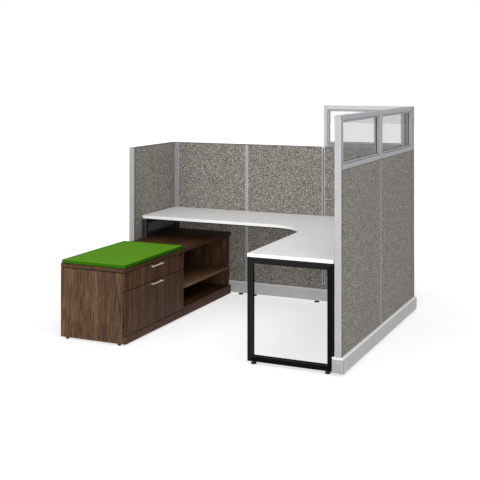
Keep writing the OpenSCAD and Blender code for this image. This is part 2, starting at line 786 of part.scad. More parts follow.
// The three nested members of one slide, drawn from the cabinet's side
nest = slide_gauge + run_gap;
module cabinet_member() channel(slide_h / 2, 0, slide_lip);
module middle_member() channel(slide_h / 2 - nest, nest, slide_lip);
module drawer_member() channel(slide_h / 2 - 2 * nest, slide_t, 2 * nest);

module both_sides(z) color(steel) {
  translate([slide_x0, cred_y0 + board_t, z]) children();
  translate([slide_x0, mid_y, z]) mirror([0, 1, 0]) children();
}
module cabinet_slide_members() for (z = [upper_slide_z, lower_slide_z])
  both_sides(z) cabinet_member();
module upper_middle_slides() both_sides(upper_slide_z) middle_member();
module lower_middle_slides() both_sides(lower_slide_z) middle_member();
module upper_drawer_slides() both_sides(upper_slide_z) drawer_member();
module lower_drawer_slides() both_sides(lower_slide_z) drawer_member();

// Bar pull on two posts, near the top of its drawer front
module pull(front_top) color("#d8d8d6")
  translate([cred_x1, (front_y0 + front_y1) / 2, front_top - pull_drop]) {
    translate([pull_gap + pull_d / 2, -pull_l / 2, 0]) rotate([-90, 0, 0])
      cylinder(d = pull_d, h = pull_l);
    for (side = [-1, 1]) translate([0, side * pull_post_share * pull_l, 0]) rotate([0, 90, 0])
      cylinder(r = pull_post_r, h = pull_gap + pull_d / 2);
  }
module upper_pull() pull(upper_front_z + upper_front_h);
module lower_pull() pull(lower_front_z + lower_front_h);

// Cam lock: a barrel with a rim in the drawer front, and a plug with a keyway that turns the cam
barrel_l = board_t + barrel_back;
module lock_barrel() color(steel) translate([face_x - barrel_back, lock_y, lock_z])
  rotate([0, 90, 0]) difference() {
    union() {
      cylinder(r = barrel_r, h = barrel_l);
      translate([0, 0, barrel_l]) cylinder(r = rim_r, h = rim_t);
    }
    translate([0, 0, -over]) cylinder(r = plug_r + hole_gap, h = barrel_l + rim_t + 2 * over);
  }
module lock_plug() color(black) translate([cam_x, lock_y, lock_z]) {
  difference() {
    rotate([0, 90, 0]) cylinder(r = plug_r, h = cam_t + barrel_l + rim_t + plug_out);
    translate([cam_t + barrel_l + rim_t + plug_out - keyway_depth, -keyway_w / 2, -keyway_h / 2])
      cube([keyway_depth + over, keyway_w, keyway_h]);
  }
  translate([0, -cam_l, -cam_w / 2]) cube([cam_t, cam_l, cam_w]);
}

// Seat pad: a crowned cushion whose sides draw in between its corners
pad_x0 = cred_x0 + pad_inset;
pad_x1 = cred_x1 - pad_inset;
pad_y0 = cred_y0 + pad_inset;
pad_y1 = front_y1 - pad_end_gap;
pad_z0 = cred_h + seat_gap;
pad_side = pad_t - pad_crown;
pad_w = pad_x1 - pad_x0;
pad_l = pad_y1 - pad_y0;

// One ring of the pad's surface, drawn in from its widest outline
function pad_side_points(a, b) = [for (i = [1:pad_side_steps - 1])
  let (s = i / pad_side_steps, n = [a.y - b.y, b.x - a.x] / norm(b - a))
  a + (b - a) * s + n * pad_draw * sin(180 * s)];
function pad_ring(inset, z) =
  let (w = pad_w / 2 - inset, l = pad_l / 2 - inset, r = max(pad_r - inset, pad_edge_r / 2),
       c = [[w - r, l - r], [r - w, l - r], [r - w, r - l], [w - r, r - l]],
       corners = [for (q = [0:3]) arc(c[q], r, 90 * q, 90 * q + 90)],
       outline = [for (q = [0:3]) each concat(corners[q],
         pad_side_points(corners[q][arc_steps], corners[(q + 1) % 4][0]))])
  [for (p = outline) [p.x, p.y, z]];

// Insets and heights of the rings: up the rounded side, then across the crown
pad_edge_steps = 3;
pad_profile = concat(
  [for (i = [0:pad_edge_steps]) let (a = 90 * i / pad_edge_steps)
    [pad_edge_r / 2 * (1 - sin(a)), pad_edge_r / 2 * (1 - cos(a))]],
  [for (i = [0:pad_edge_steps]) let (a = 90 * i / pad_edge_steps)
    [pad_edge_r * (1 - cos(a)), pad_side - pad_edge_r * (1 - sin(a))]],
  [for (i = [1:pad_rings]) let (s = i / (pad_rings + 1))
    [pad_edge_r + (pad_w / 2 - pad_edge_r) * s, pad_side + pad_crown * sin(90 * s)]]);

module seat_pad() color("#4f9422") translate([(pad_x0 + pad_x1) / 2, (pad_y0 + pad_y1) / 2, pad_z0]) {
  rings = [for (p = pad_profile) pad_ring(p[0], p[1])];
  n = len(rings[0]);
  last = len(rings) - 1;
  points = concat([[0, 0, 0]], [for (r = rings) each r], [[0, 0, pad_t]]);
  polyhedron(points, concat(
    [for (k = [0:n - 1]) [0, 1 + k, 1 + (k + 1) % n]],
    [for (j = [0:last - 1], k = [0:n - 1]) let (a = 1 + j * n, b = a + n, m = (k + 1) % n)
      [a + k, b + k, b + m]],
    [for (j = [0:last - 1], k = [0:n - 1]) let (a = 1 + j * n, b = a + n, m = (k + 1) % n)
      [a + k, b + m, a + m]],
    [for (k = [0:n - 1]) [len(points) - 1, 1 + last * n + (k + 1) % n, 1 + last * n + k]]));
}

// The finished part stands centred on its frame's origin
module placed() translate([-mid_x, -mid_depth, 0]) children();

placed() left_frame();
placed() back_left_frame();
placed() back_middle_frame();
placed() back_right_frame();
placed() right_rear_frame();
placed() right_front_frame();
placed() panel_cores();
placed() left_tile();
placed() back_left_tile();
placed() back_middle_tile();
placed() back_right_tile();
placed() right_rear_tile();
placed() right_front_tile();
placed() left_outer_tile();
placed() back_outer_tiles();
placed() right_outer_tiles();
placed() back_glass_frame();
placed() right_rear_glass_frame();
placed() right_front_glass_frame();
placed() glass_panes();
placed() low_corner_post();
placed() tall_corner_post();
placed() left_end_trim();
placed() right_end_trim();
placed() top_caps();
placed() inner_base_covers();
placed() outer_base_covers();
placed() base_end_caps();
placed() panel_glides();
placed() straight_worksurface();
placed() corner_worksurface();
placed() loop_leg();
placed() loop_leg_feet();
placed() riser_leg();
placed() worksurface_brackets();
placed() joining_plates();
placed() worksurface_screws();
placed() credenza_top();
placed() front_end_panel();
placed() rear_end_panel();
placed() centre_partition();
placed() credenza_back();
placed() credenza_deck();
placed() plinth();
placed() bay_shelf();
placed() upper_drawer_front();
placed() lower_drawer_front();
placed() upper_drawer_box();
placed() lower_drawer_box();
placed() cabinet_slide_members();
placed() upper_middle_slides();
placed() lower_middle_slides();
placed() upper_drawer_slides();
placed() lower_drawer_slides();
placed() upper_pull();
placed() lower_pull();
placed() lock_barrel();
placed() lock_plug();
placed() credenza_feet();
placed() seat_pad();
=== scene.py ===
# %% [markdown]
# # A cubicle workstation
# The real object is a set of steel frames dressed with fabric tiles, painted covers and glass, with
# laminate tops and a walnut credenza hooked and stood among them. Its construction is already
# drawn at full size as the frame, so this lesson only dresses it: every piece below is modelled
# where the frame says it goes, and rides on the body that carries it.

# %% The frame
import math
import bpy
import bmesh
from mathutils import Matrix, Vector


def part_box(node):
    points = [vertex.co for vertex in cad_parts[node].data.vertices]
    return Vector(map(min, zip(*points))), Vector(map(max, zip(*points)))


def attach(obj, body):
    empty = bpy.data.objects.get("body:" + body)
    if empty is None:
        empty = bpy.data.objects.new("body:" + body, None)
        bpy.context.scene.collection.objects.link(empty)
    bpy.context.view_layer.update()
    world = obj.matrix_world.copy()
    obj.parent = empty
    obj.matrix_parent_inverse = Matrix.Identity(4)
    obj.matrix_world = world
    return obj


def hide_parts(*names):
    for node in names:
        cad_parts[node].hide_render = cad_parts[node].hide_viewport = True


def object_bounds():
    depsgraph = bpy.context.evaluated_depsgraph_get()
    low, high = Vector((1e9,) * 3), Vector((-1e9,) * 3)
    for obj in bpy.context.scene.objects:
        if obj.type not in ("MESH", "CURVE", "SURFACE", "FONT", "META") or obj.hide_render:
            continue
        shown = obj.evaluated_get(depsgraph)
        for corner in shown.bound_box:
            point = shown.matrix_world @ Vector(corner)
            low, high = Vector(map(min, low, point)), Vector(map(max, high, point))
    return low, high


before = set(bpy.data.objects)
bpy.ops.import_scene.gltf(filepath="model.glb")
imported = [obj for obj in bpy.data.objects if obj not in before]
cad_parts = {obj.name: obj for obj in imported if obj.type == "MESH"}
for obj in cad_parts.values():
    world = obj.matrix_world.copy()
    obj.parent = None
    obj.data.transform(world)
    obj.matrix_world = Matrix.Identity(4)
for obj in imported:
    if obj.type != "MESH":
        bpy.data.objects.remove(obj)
cad_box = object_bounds()

# %% [markdown]
# ## Lengths and selection
# The frame is in metres and a maker speaks in millimetres, so one value turns one into the other.
# Operators act on everything that is selected, and loading leaves the frame selected, so each piece
# starts by selecting nothing else. A node may hold several solids, such as three tiles in a row, and
# `solids` finds the box of each one by walking from corner to corner along its edges.

# %% Lengths, selection and the frame's solids
mm = 0.001
clean_gap = 0.01 * mm
sort_digits = 4


def only(*objects):
    bpy.ops.object.select_all(action="DESELECT")
    for item in objects:
        item.select_set(True)
    if objects:
        bpy.context.view_layer.objects.active = objects[0]


def solids(node):
    """The lowest and highest corner of each separate solid in a node, in a steady order."""
    mesh = bmesh.new()
    mesh.from_mesh(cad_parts[node].data)
    bmesh.ops.remove_doubles(mesh, verts=mesh.verts, dist=clean_gap)
    waiting = set(mesh.verts)
    boxes = []
    while waiting:
        group = [waiting.pop()]
        for corner in group:
            for edge in corner.link_edges:
                other = edge.other_vert(corner)
                if other in waiting:
                    waiting.remove(other)
                    group.append(other)
        low = Vector([min(v.co[i] for v in group) for i in range(3)])
        high = Vector([max(v.co[i] for v in group) for i in range(3)])
        boxes.append((low, high))
    mesh.free()
    return sorted(boxes, key=lambda box: [round(c, sort_digits) for c in box[0] + box[1]])


only()
print("Outer tiles on the back wall:", len(solids("back_outer_tiles")))

# %% [markdown]
# ## Colours and nodes
# Colours are written as they look on a screen, as sRGB hex, and one function turns them to the
# linear values that light works in. One more function adds a shader node of any kind: its settings,
# its sockets' values and links, a ramp's colours, and the sockets that it feeds. Every pattern
# reads Object coordinates, so it is sized in real metres and stays on its piece when that moves.

# %% Colour and node helpers
sRGB_knee, sRGB_slope, sRGB_lift, sRGB_power = 0.04045, 12.92, 0.055, 2.4
ramp_middle = 0.5


def colour(code):
    channels = [int(code[i:i + 2], 16) / 255 for i in (1, 3, 5)]
    linear = [c / sRGB_slope if c <= sRGB_knee
              else ((c + sRGB_lift) / (1 + sRGB_lift)) ** sRGB_power for c in channels]
    return (*linear, 1.0)


def add_node(tree, kind, values=None, links=None, stops=(), feeds=None, **settings):
    """Adds a node. Stops are a ramp's (place, colour code) pairs, and feeds is the socket it feeds."""
    node = tree.nodes.new(kind)
    for name, value in settings.items():
        setattr(node, name, value)
    for socket, value in (values or {}).items():
        node.inputs[socket].default_value = value
    for socket, source in (links or {}).items():
        tree.links.new(source, node.inputs[socket])
    for extra in stops[2:]:
        node.color_ramp.elements.new(ramp_middle)
    for i, (position, code) in enumerate(stops):
        node.color_ramp.elements[i].position = position
        node.color_ramp.elements[i].color = colour(code)
    if feeds:
        tree.links.new(node.outputs[0], feeds)
    return node


def new_material(name, **values):
    """A material, its tree, the Object coordinates, and its shader's sockets, which take the values
    that are the same all over."""
    material = bpy.data.materials.new(name)
    material.use_nodes = True
    tree = material.node_tree
    shader = tree.nodes["Principled BSDF"].inputs
    for socket, value in values.items():
        shader[socket.replace("_", " ")].default_value = value
    places = add_node(tree, "ShaderNodeTexCoord").outputs["Object"]
    return material, tree, places, shader


print("A mid grey of #808080 is", round(colour("#808080")[0], 3), "in linear light")

# %% [markdown]
# ## Panel fabric
# The tiles are covered in a polyester tweed: two plies of grey-brown yarn in a plain weave, with
# lighter and darker flecks spun in. A photograph of cloth would repeat, so the cloth is built from
# what it is: crossing threads for the relief, and noise for the flecks. A side wall runs along Y
# and the back wall along X, so the upright threads follow X plus Y and fit both.
# The real threads are 1.6 mm apart, too fine to see from across a room, so the slubs, where thick
# yarn comes to the face, are drawn 6 mm apart, as the eye reads them from there.

# %% Panel tweed
tweed_thread = 1.6 * mm
tweed_slub = 6 * mm
tweed_fleck = 24 * mm
fleck_share = 0.1
tweed_relief = 0.4 * mm
low_thread = 0.5


def woven(tree, first, second, thread):
    """Relief of a plain weave: a wave across each set of threads, and the product of the two."""
    waves = []
    for source in (first, second):
        turn = add_node(tree, "ShaderNodeMath", {1: math.pi / thread}, {0: source},
                        operation="MULTIPLY").outputs[0]
        waves.append(add_node(tree, "ShaderNodeMath", links={0: turn}, operation="SINE").outputs[0])
    product = add_node(tree, "ShaderNodeMath", links=dict(enumerate(waves)), operation="MULTIPLY")
    return add_node(tree, "ShaderNodeMapRange", {"To Min": low_thread},
                    {"Value": product.outputs[0]}).outputs["Result"]


def make_tweed():
    """Dull, dry cloth: nearly no shine, with a little fuzz that lightens it at a low angle."""
    material, tree, places, shader = new_material(
        "polyester tweed", Roughness=0.95, Sheen_Weight=0.1, Sheen_Roughness=0.6)
    slub = add_node(tree, "ShaderNodeTexNoise",
                    {"Scale": 1 / tweed_slub, "Detail": 1.0, "Roughness": 0.5}, {"Vector": places})
    fleck = add_node(tree, "ShaderNodeTexNoise", {"Scale": 1 / tweed_fleck, "Detail": 1.0},
                     {"Vector": places})
    mixed = add_node(tree, "ShaderNodeMix", {"Factor": fleck_share},
                     {"A": slub.outputs["Fac"], "B": fleck.outputs["Fac"]})
    add_node(tree, "ShaderNodeValToRGB", links={"Fac": mixed.outputs["Result"]}, feeds=shader["Base Color"],
             stops=[(0.35, "#3d3934"), (0.465, "#6c6761"), (0.535, "#837e77"), (0.65, "#bfbab2")])
    axes = add_node(tree, "ShaderNodeSeparateXYZ", links={"Vector": places}).outputs
    along = add_node(tree, "ShaderNodeMath", links={0: axes["X"], 1: axes["Y"]}, operation="ADD")
    add_node(tree, "ShaderNodeBump", {"Distance": tweed_relief},
             {"Height": woven(tree, along.outputs[0], axes["Z"], tweed_thread)}, feeds=shader["Normal"])
    return material


tweed = make_tweed()
print("Tweed threads every", round(tweed_thread / mm, 2), "mm")

# %% [markdown]
# ## Powder coat
# Frames, trims, covers and legs are powder coated: dry paint baked on steel, which flows into a
# satin skin with a faint orange peel. Fine noise bends the light for the peel and a slower noise
# changes the gloss a little. One function makes the silver and the black, because only the pigment,
# the grit and the gloss differ. The silver has a little mica, so it is slightly metallic. Some coats
# are lighter or darker copies of one paint, with light and shade painted in: painted shade on the
# lower glazing bar and the corner posts, painted light on the upper bar, the riser and the leg's top
# tube and near upright, and painted highlights along the tubes' and trims' edges and on the covers'
# and end caps' sloped ledges, which face the lamps and are the lightest silver. The dark strips of
# painted shadow, the enamel and the phenolic skins have the same fine peel.

# %% Two-tone skins and powder coats
peel_size = 1.4 * mm
peel_relief = 0.05 * mm
skin_relief = 0.03 * mm
black_relief = 0.08 * mm
cloud_size = 83 * mm
gloss_change = 0.05


def skin(name, dark, light, cloud, fine, depth, roughness=None, **values):
    """A material in two tones with a fine relief. Cloud and fine are the (size, detail) of the noise
    of the tones and of the relief. Where there is a roughness, it changes with the tones."""
    material, tree, places, shader = new_material(name, **values)
    tones, grain = [add_node(tree, "ShaderNodeTexNoise", {"Scale": 1 / size, "Detail": detail},
                             {"Vector": places}).outputs["Fac"] for size, detail in (cloud, fine)]
    add_node(tree, "ShaderNodeValToRGB", links={"Fac": tones}, stops=[(0.3, dark), (0.7, light)],
             feeds=shader["Base Color"])
    add_node(tree, "ShaderNodeBump", {"Distance": depth}, {"Height": grain}, feeds=shader["Normal"])
    if roughness:
        add_node(tree, "ShaderNodeMapRange", {"To Min": roughness - gloss_change,
                                              "To Max": roughness + gloss_change},
                 {"Value": tones}, feeds=shader["Roughness"])
    return material


def powder_coat(name, tint, shade, roughness=0.5, mica=0.1, peel=peel_relief, shine=0.5):
    return skin(name, shade, tint, (cloud_size, 2.0), (peel_size, 3.0), peel, roughness,
                Metallic=mica, Specular_IOR_Level=shine)


silver_coat = powder_coat("silver powder coat", "#c9c8ca", "#c1c1c3", 0.45)
# Painted highlight: a lighter silver for the covers' up-facing ledges, where they face the lamps.
ledge_highlight_coat = powder_coat("silver ledge coat, painted highlight", "#f6f6f5", "#efefee", mica=0.0)
trim_coat = powder_coat("silver trim coat", "#a9a8ab", "#a2a1a4", 0.45)
# Painted highlight: a lighter coat for the end caps' up-facing ledges.
cap_ledge_highlight_coat = powder_coat("end cap ledge coat, painted highlight", "#dcdcdb", "#d4d4d3", mica=0.0)
end_cap_coat = powder_coat("grey end cap coat", "#a09fa2", "#99989b")
# Painted shade: a darker silver that stands for the shade in the corners.
post_shade_coat = powder_coat("silver post coat, painted corner shade", "#a3a2a6", "#9b9a9e", 0.45)
frame_coat = powder_coat("grey frame powder coat", "#b1b0b0", "#a8a7a7")
bar_coat = powder_coat("silver glazing bar coat", "#b9b9bd", "#b1b1b5", 0.45)
# Painted shade on the back frame's lower bar, and painted light on its upper bar.
shaded_bar_coat = powder_coat("silver glazing bar coat, painted shade", "#8f8e92", "#87868a")
lit_bar_coat = powder_coat("silver glazing bar coat, painted light", "#c5c5c8", "#bdbdc0", 0.45)
stop_coat = powder_coat("silver glazing stop coat", "#b9b9be", "#b1b1b6")
# Dark grey is the top caps' own colour, and a painted shadow on the end caps' narrow sides.
cap_coat = powder_coat("dark grey cap coat", "#77756f", "#6c6a65", 0.55, 0.0)
black_coat = powder_coat("black powder coat", "#090909", "#070707", 0.6, 0.0, black_relief, 0.05)
# Painted light: a lighter black for the leg's top tube and near upright.
lit_black_coat = powder_coat("black powder coat, painted lighter", "#161617", "#131314", 0.55, 0.0, black_relief, 0.1)
# Painted light: the riser's dark grey is a lighter copy of the leg's black.
lit_riser_coat = powder_coat("dark grey powder coat, painted light", "#2c2a2b", "#262425", 0.5, 0.0, black_relief, 0.3)
# Painted highlights: lighter coats on the rounded edges of the leg's and the riser's tubes.
riser_edge_highlight = powder_coat("grey tube edge, painted highlight", "#666668", "#5e5e60", 0.5, 0.0, black_relief, 0.3)
tube_edge_highlight = powder_coat("black tube edge, painted highlight", "#2c2c2e", "#252527", 0.5, 0.0, black_relief, 0.3)
lock_enamel = powder_coat("black lock enamel", "#060606", "#040404", 0.7, 0.0, skin_relief, 0.03)
# Painted shadow: dark strips where there is only a shadow line, by the trims and the glass frames.
shade_strip = powder_coat("dark grey strip, painted shadow", "#57565a", "#504f53", 0.6, 0.0, skin_relief, 0.3)
# Dark rounded board edges: partly the laminate's own dark line, partly painted shadow between boards.
edge_line_and_shade = powder_coat("dark laminate edge and painted shadow", "#20130a", "#1b1008", 0.6, 0.0, skin_relief, 0.2)
# Black backer below the tops, and a painted shadow line on their bottom edge bevel.
backer_and_shadow = powder_coat("black phenolic sheet and painted shadow line", "#0c0b0b", "#080707", 0.7, 0.0, skin_relief, 0.1)
print("Powder coats made:", silver_coat.name, "and", black_coat.name)

# %% [markdown]
# ## Laminates and birch
# The tops are white melamine laminate with a white edge band: a hard, slightly pebbled skin with a
# soft gloss. The credenza is a printed walnut laminate with a straight, quartered grain, and the
# drawer boxes are lacquered birch. Wood grain is long fibres, so noise is stretched along the grain
# in three layers: broad bands of early and late wood, dashes where fibres surface, and fine dark
# pores. The pores are drawn at the least width that shows. The grain stands up the fronts and ends
# and runs along the flat boards, so one function is called with the direction that it follows.

# %% White laminate
pebble_size = 1.2 * mm
top_cloud = 167 * mm
white_laminate = skin("white melamine laminate", "#f1f1f1", "#f6f6f5", (top_cloud, 2.0),
                      (pebble_size, 2.0), skin_relief, Roughness=0.38, IOR=1.5)
print("Laminate:", white_laminate.name)

# %% Walnut and birch
grain_layers = ((45 * mm, 25), (7 * mm, 13), (3 * mm, 8))
tone_places = (0.36, 0.46, 0.54, 0.65)
dash_share = 0.6
pore_share = 0.5
pore_relief = 0.04 * mm


def fibres(tree, places, along, width, stretch):
    """Noise drawn out along axis 0, 1 or 2: fibres of a width, and so many times longer than wide."""
    size = [1.0, 1.0, 1.0]
    size[along] = 1 / stretch
    drawn = add_node(tree, "ShaderNodeMapping", {"Scale": size}, {"Vector": places}).outputs[0]
    return add_node(tree, "ShaderNodeTexNoise", {"Scale": 1 / width, "Detail": 2.0},
                    {"Vector": drawn}).outputs["Fac"]


def wood(name, along, tones):
    """Wood whose grain runs along axis 0, 1 or 2, in four tones from dark to light."""
    material, tree, places, shader = new_material(name, Roughness=0.5, Specular_IOR_Level=0.3)
    bands, dashes, pores = [fibres(tree, places, along, *layer) for layer in grain_layers]
    soft = add_node(tree, "ShaderNodeMix", {"Factor": dash_share}, {"A": bands, "B": dashes})
    tint = add_node(tree, "ShaderNodeValToRGB", links={"Fac": soft.outputs["Result"]},
                    stops=list(zip(tone_places, tones)))
    dark = add_node(tree, "ShaderNodeValToRGB", links={"Fac": pores},
                    stops=[(0.34, "#5c4d40"), (0.48, "#ffffff")])
    mixed = add_node(tree, "ShaderNodeMix", {"Factor": pore_share},
                     {"A": tint.outputs[0], "B": dark.outputs[0]},
                     data_type="RGBA", blend_type="MULTIPLY")
    tree.links.new(mixed.outputs["Result"], shader["Base Color"])
    add_node(tree, "ShaderNodeBump", {"Distance": pore_relief}, {"Height": pores}, feeds=shader["Normal"])
    return material


end_tones = ("#342113", "#482f1b", "#5b4027", "#735436")
front_tones = ("#2e1b0b", "#412610", "#553419", "#6d4924")
# Painted light: the shelf under the top takes lighter walnut tones than the other boards.
lit_shelf_tones = ("#5c3d25", "#714e32", "#866344", "#9a7654")
birch_tones = ("#b08a5c", "#c29c6d", "#cda97c", "#d8b98e")
walnut_upright = wood("walnut laminate, upright grain", 2, end_tones)
walnut_along = wood("walnut laminate, lengthwise grain", 1, front_tones)
walnut_front = wood("walnut laminate, upright grain, darker", 2, front_tones)
lit_walnut_shelf = wood("walnut laminate, shelf, painted light", 1, lit_shelf_tones)
birch_board = wood("lacquered birch board", 0, birch_tones)
print("Grain layers, width in mm:", [round(width / mm) for width, stretch in grain_layers])

# %% [markdown]
# ## Metals, nylon, glass and fibre board
# Screws, slides and brackets are bright zinc plate, rolled lengthwise, and the pulls are satin
# nickel, brushed along the bar. Brushing leaves hairlines, so noise is squeezed across the line and
# moves the roughness. Glides, feet and seals are moulded nylon, which is black and even, with the
# spark texture of its mould. The panes are clear tempered glass. Real glass bends light by 1.5, but
# at the low angle of this view it would then mirror the white studio, so it gets a far smaller
# index, and the side panes, which the eye looks along, a faint grey that stands for their tint.

# %% Zinc, nickel and nylon
hairline_stretch = 40
hairline = 0.6 * mm
hairline_relief = 0.02 * mm
brush_change = 0.08
spark_size = 0.6 * mm


def brushed(name, tint, roughness, along, metallic=1.0):
    material, tree, places, shader = new_material(name, Metallic=metallic, Base_Color=colour(tint))
    hair = fibres(tree, places, along, hairline, hairline_stretch)
    add_node(tree, "ShaderNodeMapRange", {"To Min": roughness - brush_change,
                                          "To Max": roughness + brush_change},
             {"Value": hair}, feeds=shader["Roughness"])
    add_node(tree, "ShaderNodeBump", {"Distance": hairline_relief}, {"Height": hair}, feeds=shader["Normal"])
    return material


zinc = brushed("bright zinc plate", "#b9bcc2", 0.35, 0)
nickel = brushed("satin nickel", "#f1ece4", 0.4, 1, metallic=0.5)
nylon = skin("black moulded nylon", "#141415", "#1c1c1d", (spark_size, 2.0), (spark_size, 2.0),
             peel_relief, Roughness=0.5, IOR=1.53)
print("Metals made:", zinc.name, "and", nickel.name)

# %% Fibre board and glass
fibre_size = 4 * mm
fibre_relief = 0.5 * mm
film_size = 333 * mm


def tempered_glass(name, dim, light, bend):
    material, tree, places, shader = new_material(name, IOR=bend, Roughness=0.0,
                                                  Transmission_Weight=1.0)
    film = add_node(tree, "ShaderNodeTexNoise", {"Scale": 1 / film_size}, {"Vector": places})
    add_node(tree, "ShaderNodeValToRGB", links={"Fac": film.outputs["Fac"]},
             stops=[(0.3, dim), (0.7, light)], feeds=shader["Base Color"])
    return material


fibre_board = skin("pressed fibre board", "#a08a5c", "#c7b184", (fibre_size, 4.0), (fibre_size, 4.0),
                   fibre_relief, Roughness=0.9)
side_glass = tempered_glass("tempered glass", "#c9c9c9", "#cdcdcd", 1.1)
back_glass = tempered_glass("extra clear tempered glass", "#fafafa", "#fcfcfc", 1.04)
print("Glass made:", side_glass.name, "and", back_glass.name)

# %% [markdown]
# ## Modelling helpers
# A real edge is never knife sharp: a folded sheet, a routed board and a wrapped tile each have a
# small radius that catches the light, and that thin bright line is most of what makes a model look
# solid. So every block starts as a cube at its true size and gets its edges rounded by a Bevel
# modifier that is then applied. Bevels by hand would do the same, but one helper keeps them equal.
# The Weighted Normal modifier comes after it, because it keeps the wide faces flat in shading.
# In edit mode, faces and edges are picked in code, by a test of their place or normal.

# %% Modifiers, and picking by a test
facing = 0.9


def apply_modifier(piece, kind, **settings):
    only(piece)
    bpy.ops.object.modifier_add(type=kind)
    modifier = piece.modifiers[-1]
    for name, value in settings.items():
        setattr(modifier, name, value)
    bpy.ops.object.modifier_apply(modifier=modifier.name)


def edit(piece, kind):
    """Opens a piece in edit mode, with nothing of it selected."""
    only(piece)
    bpy.ops.object.mode_set(mode="EDIT")
    bpy.ops.mesh.select_mode(type=kind)
    bpy.ops.mesh.select_all(action="DESELECT")


def pick(piece, items, test):
    """Selects the faces or the edges of an open piece that pass a test, and no others."""
    mesh = bmesh.from_edit_mesh(piece.data)
    for item in getattr(mesh, items):
        item.select = test(item)
    bmesh.update_edit_mesh(piece.data)


print("A face points one way when its normal's share of it is over", facing)

# %% Blocks with eased edges
smooth_limit = math.radians(50)
sharp_limit = math.radians(35)
strip_edge = 0.3 * mm
sheet_edge = 0.4 * mm
cap_edge = 0.5 * mm
painted_edge = 0.6 * mm
part_edge = 1 * mm


def ease(piece, width, rounds=2, line=-1):
    """Rounds every sharp edge by a width, and shades the wide faces flat. A line is the place, among
    the piece's materials, of the one that the rounded edges take."""
    if width:
        apply_modifier(piece, "BEVEL", width=width, segments=rounds, limit_method="ANGLE",
                       angle_limit=sharp_limit, material=line)
    only(piece)
    bpy.ops.object.shade_smooth_by_angle(angle=smooth_limit)
    apply_modifier(piece, "WEIGHTED_NORMAL", keep_sharp=True)
    return piece


def block(name, low, high, width=0.0, rounds=2):
    """A block between two corners, its place in its mesh."""
    low, high = Vector(low), Vector(high)
    only()
    bpy.ops.mesh.primitive_cube_add(size=1, location=(low + high) / 2, scale=high - low)
    piece = bpy.context.object
    piece.name = name
    bpy.ops.object.transform_apply(location=True, rotation=True, scale=True)
    return ease(piece, width, rounds) if width else piece


def join(name, pieces):
    only(*pieces)
    if len(pieces) > 1:
        bpy.ops.object.join()
    piece = bpy.context.view_layer.objects.active
    piece.name = name
    return piece


def place(piece, body, slot, material, *nodes):
    """Gives a finished piece its material and its body, and hides the nodes it stands for. Its slot is not
    used.
    """
    if material:
        piece.data.materials.clear()
        piece.data.materials.append(material)
    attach(piece, body)
    if nodes:
        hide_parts(*nodes)
    return piece


def dress(node, material):
    """Gives a node of the frame a finish, and leaves its shape alone."""
    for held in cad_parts[node].material_slots:
        held.material = material


print("Edges sharper than", round(math.degrees(sharp_limit)), "degrees are rounded")

# %% [markdown]
# Folded covers, extruded trims and corner posts already have their right outline in the frame.
# Redrawing them would only repeat it, so they start from a copy of the frame's mesh. Such a copy is
# loose triangles: its doubles are merged and its flat faces dissolved to whole ones, and then its
# edges are eased like those of any block.

# %% Eased copies of the frame's own shapes
flat_limit = math.radians(0.5)


def eased_copy(node, width, rounds=2, coats=()):
    """A copy of a node with its edges rounded. A second coat finishes the edges."""
    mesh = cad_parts[node].data.copy()
    mesh.materials.clear()
    for coat in coats:
        mesh.materials.append(coat)
    piece = bpy.data.objects.new(node + "_finished", mesh)
    bpy.context.scene.collection.objects.link(piece)
    only(piece)
    bpy.ops.mesh.customdata_custom_splitnormals_clear()
    bpy.ops.object.mode_set(mode="EDIT")
    bpy.ops.mesh.select_all(action="SELECT")
    bpy.ops.mesh.remove_doubles(threshold=clean_gap)
    bpy.ops.mesh.dissolve_limited(angle_limit=flat_limit)
    bpy.ops.object.mode_set(mode="OBJECT")
    return ease(piece, width, rounds, len(coats) - 1)


def coat_faces(piece, coats, place_of):
    """Gives a piece several coats: place_of says which one a face takes from its normal."""
    piece.data.materials.clear()
    for coat in coats:
        piece.data.materials.append(coat)
    for face in piece.data.polygons:
        face.material_index = place_of(face.normal)
    return piece


print("Copies are dissolved flat within", round(math.degrees(flat_limit), 1), "degrees")

# %% [markdown]
# ## Fabric tiles
# Each wall face is a tile: fabric pulled round the edges of a thin board and glued behind. The pull
# leaves an edge of about 3 mm radius and a face that stands a little proud in its middle. Each tile is
# a block whose face is inset and its rim let back by half a millimetre, before its edges are rounded.

# %% Tiles
tile_edge = 3 * mm
tile_rim = 14 * mm
tile_crown = 0.5 * mm
tile_faces = {"left_tile": (1, 0, 0), "back_left_tile": (0, -1, 0), "back_middle_tile": (0, -1, 0),
              "back_right_tile": (0, -1, 0), "right_rear_tile": (-1, 0, 0),
              "right_front_tile": (-1, 0, 0), "left_outer_tile": (-1, 0, 0),
              "back_outer_tiles": (0, 1, 0), "right_outer_tiles": (1, 0, 0)}


def tile(name, low, high, outward):
    """One tile: the face that points outward keeps its place, and its rim sinks back a little."""
    outward = Vector(outward)
    piece = block(name, low, high)
    edit(piece, "FACE")
    pick(piece, "faces", lambda face: face.normal.dot(outward) > facing)
    bpy.ops.transform.translate(value=-outward * tile_crown)
    bpy.ops.mesh.inset(thickness=tile_rim)
    bpy.ops.transform.translate(value=outward * tile_crown)
    bpy.ops.object.mode_set(mode="OBJECT")
    return ease(piece, tile_edge, 3)


tiles = 0
for node, outward in tile_faces.items():
    made = [tile(node + "_part", low, high, outward) for low, high in solids(node)]
    place(join(node + "_fabric", made), "root", "fabric_grey", tweed, node)
    tiles += len(made)
print("Tiles:", tiles)

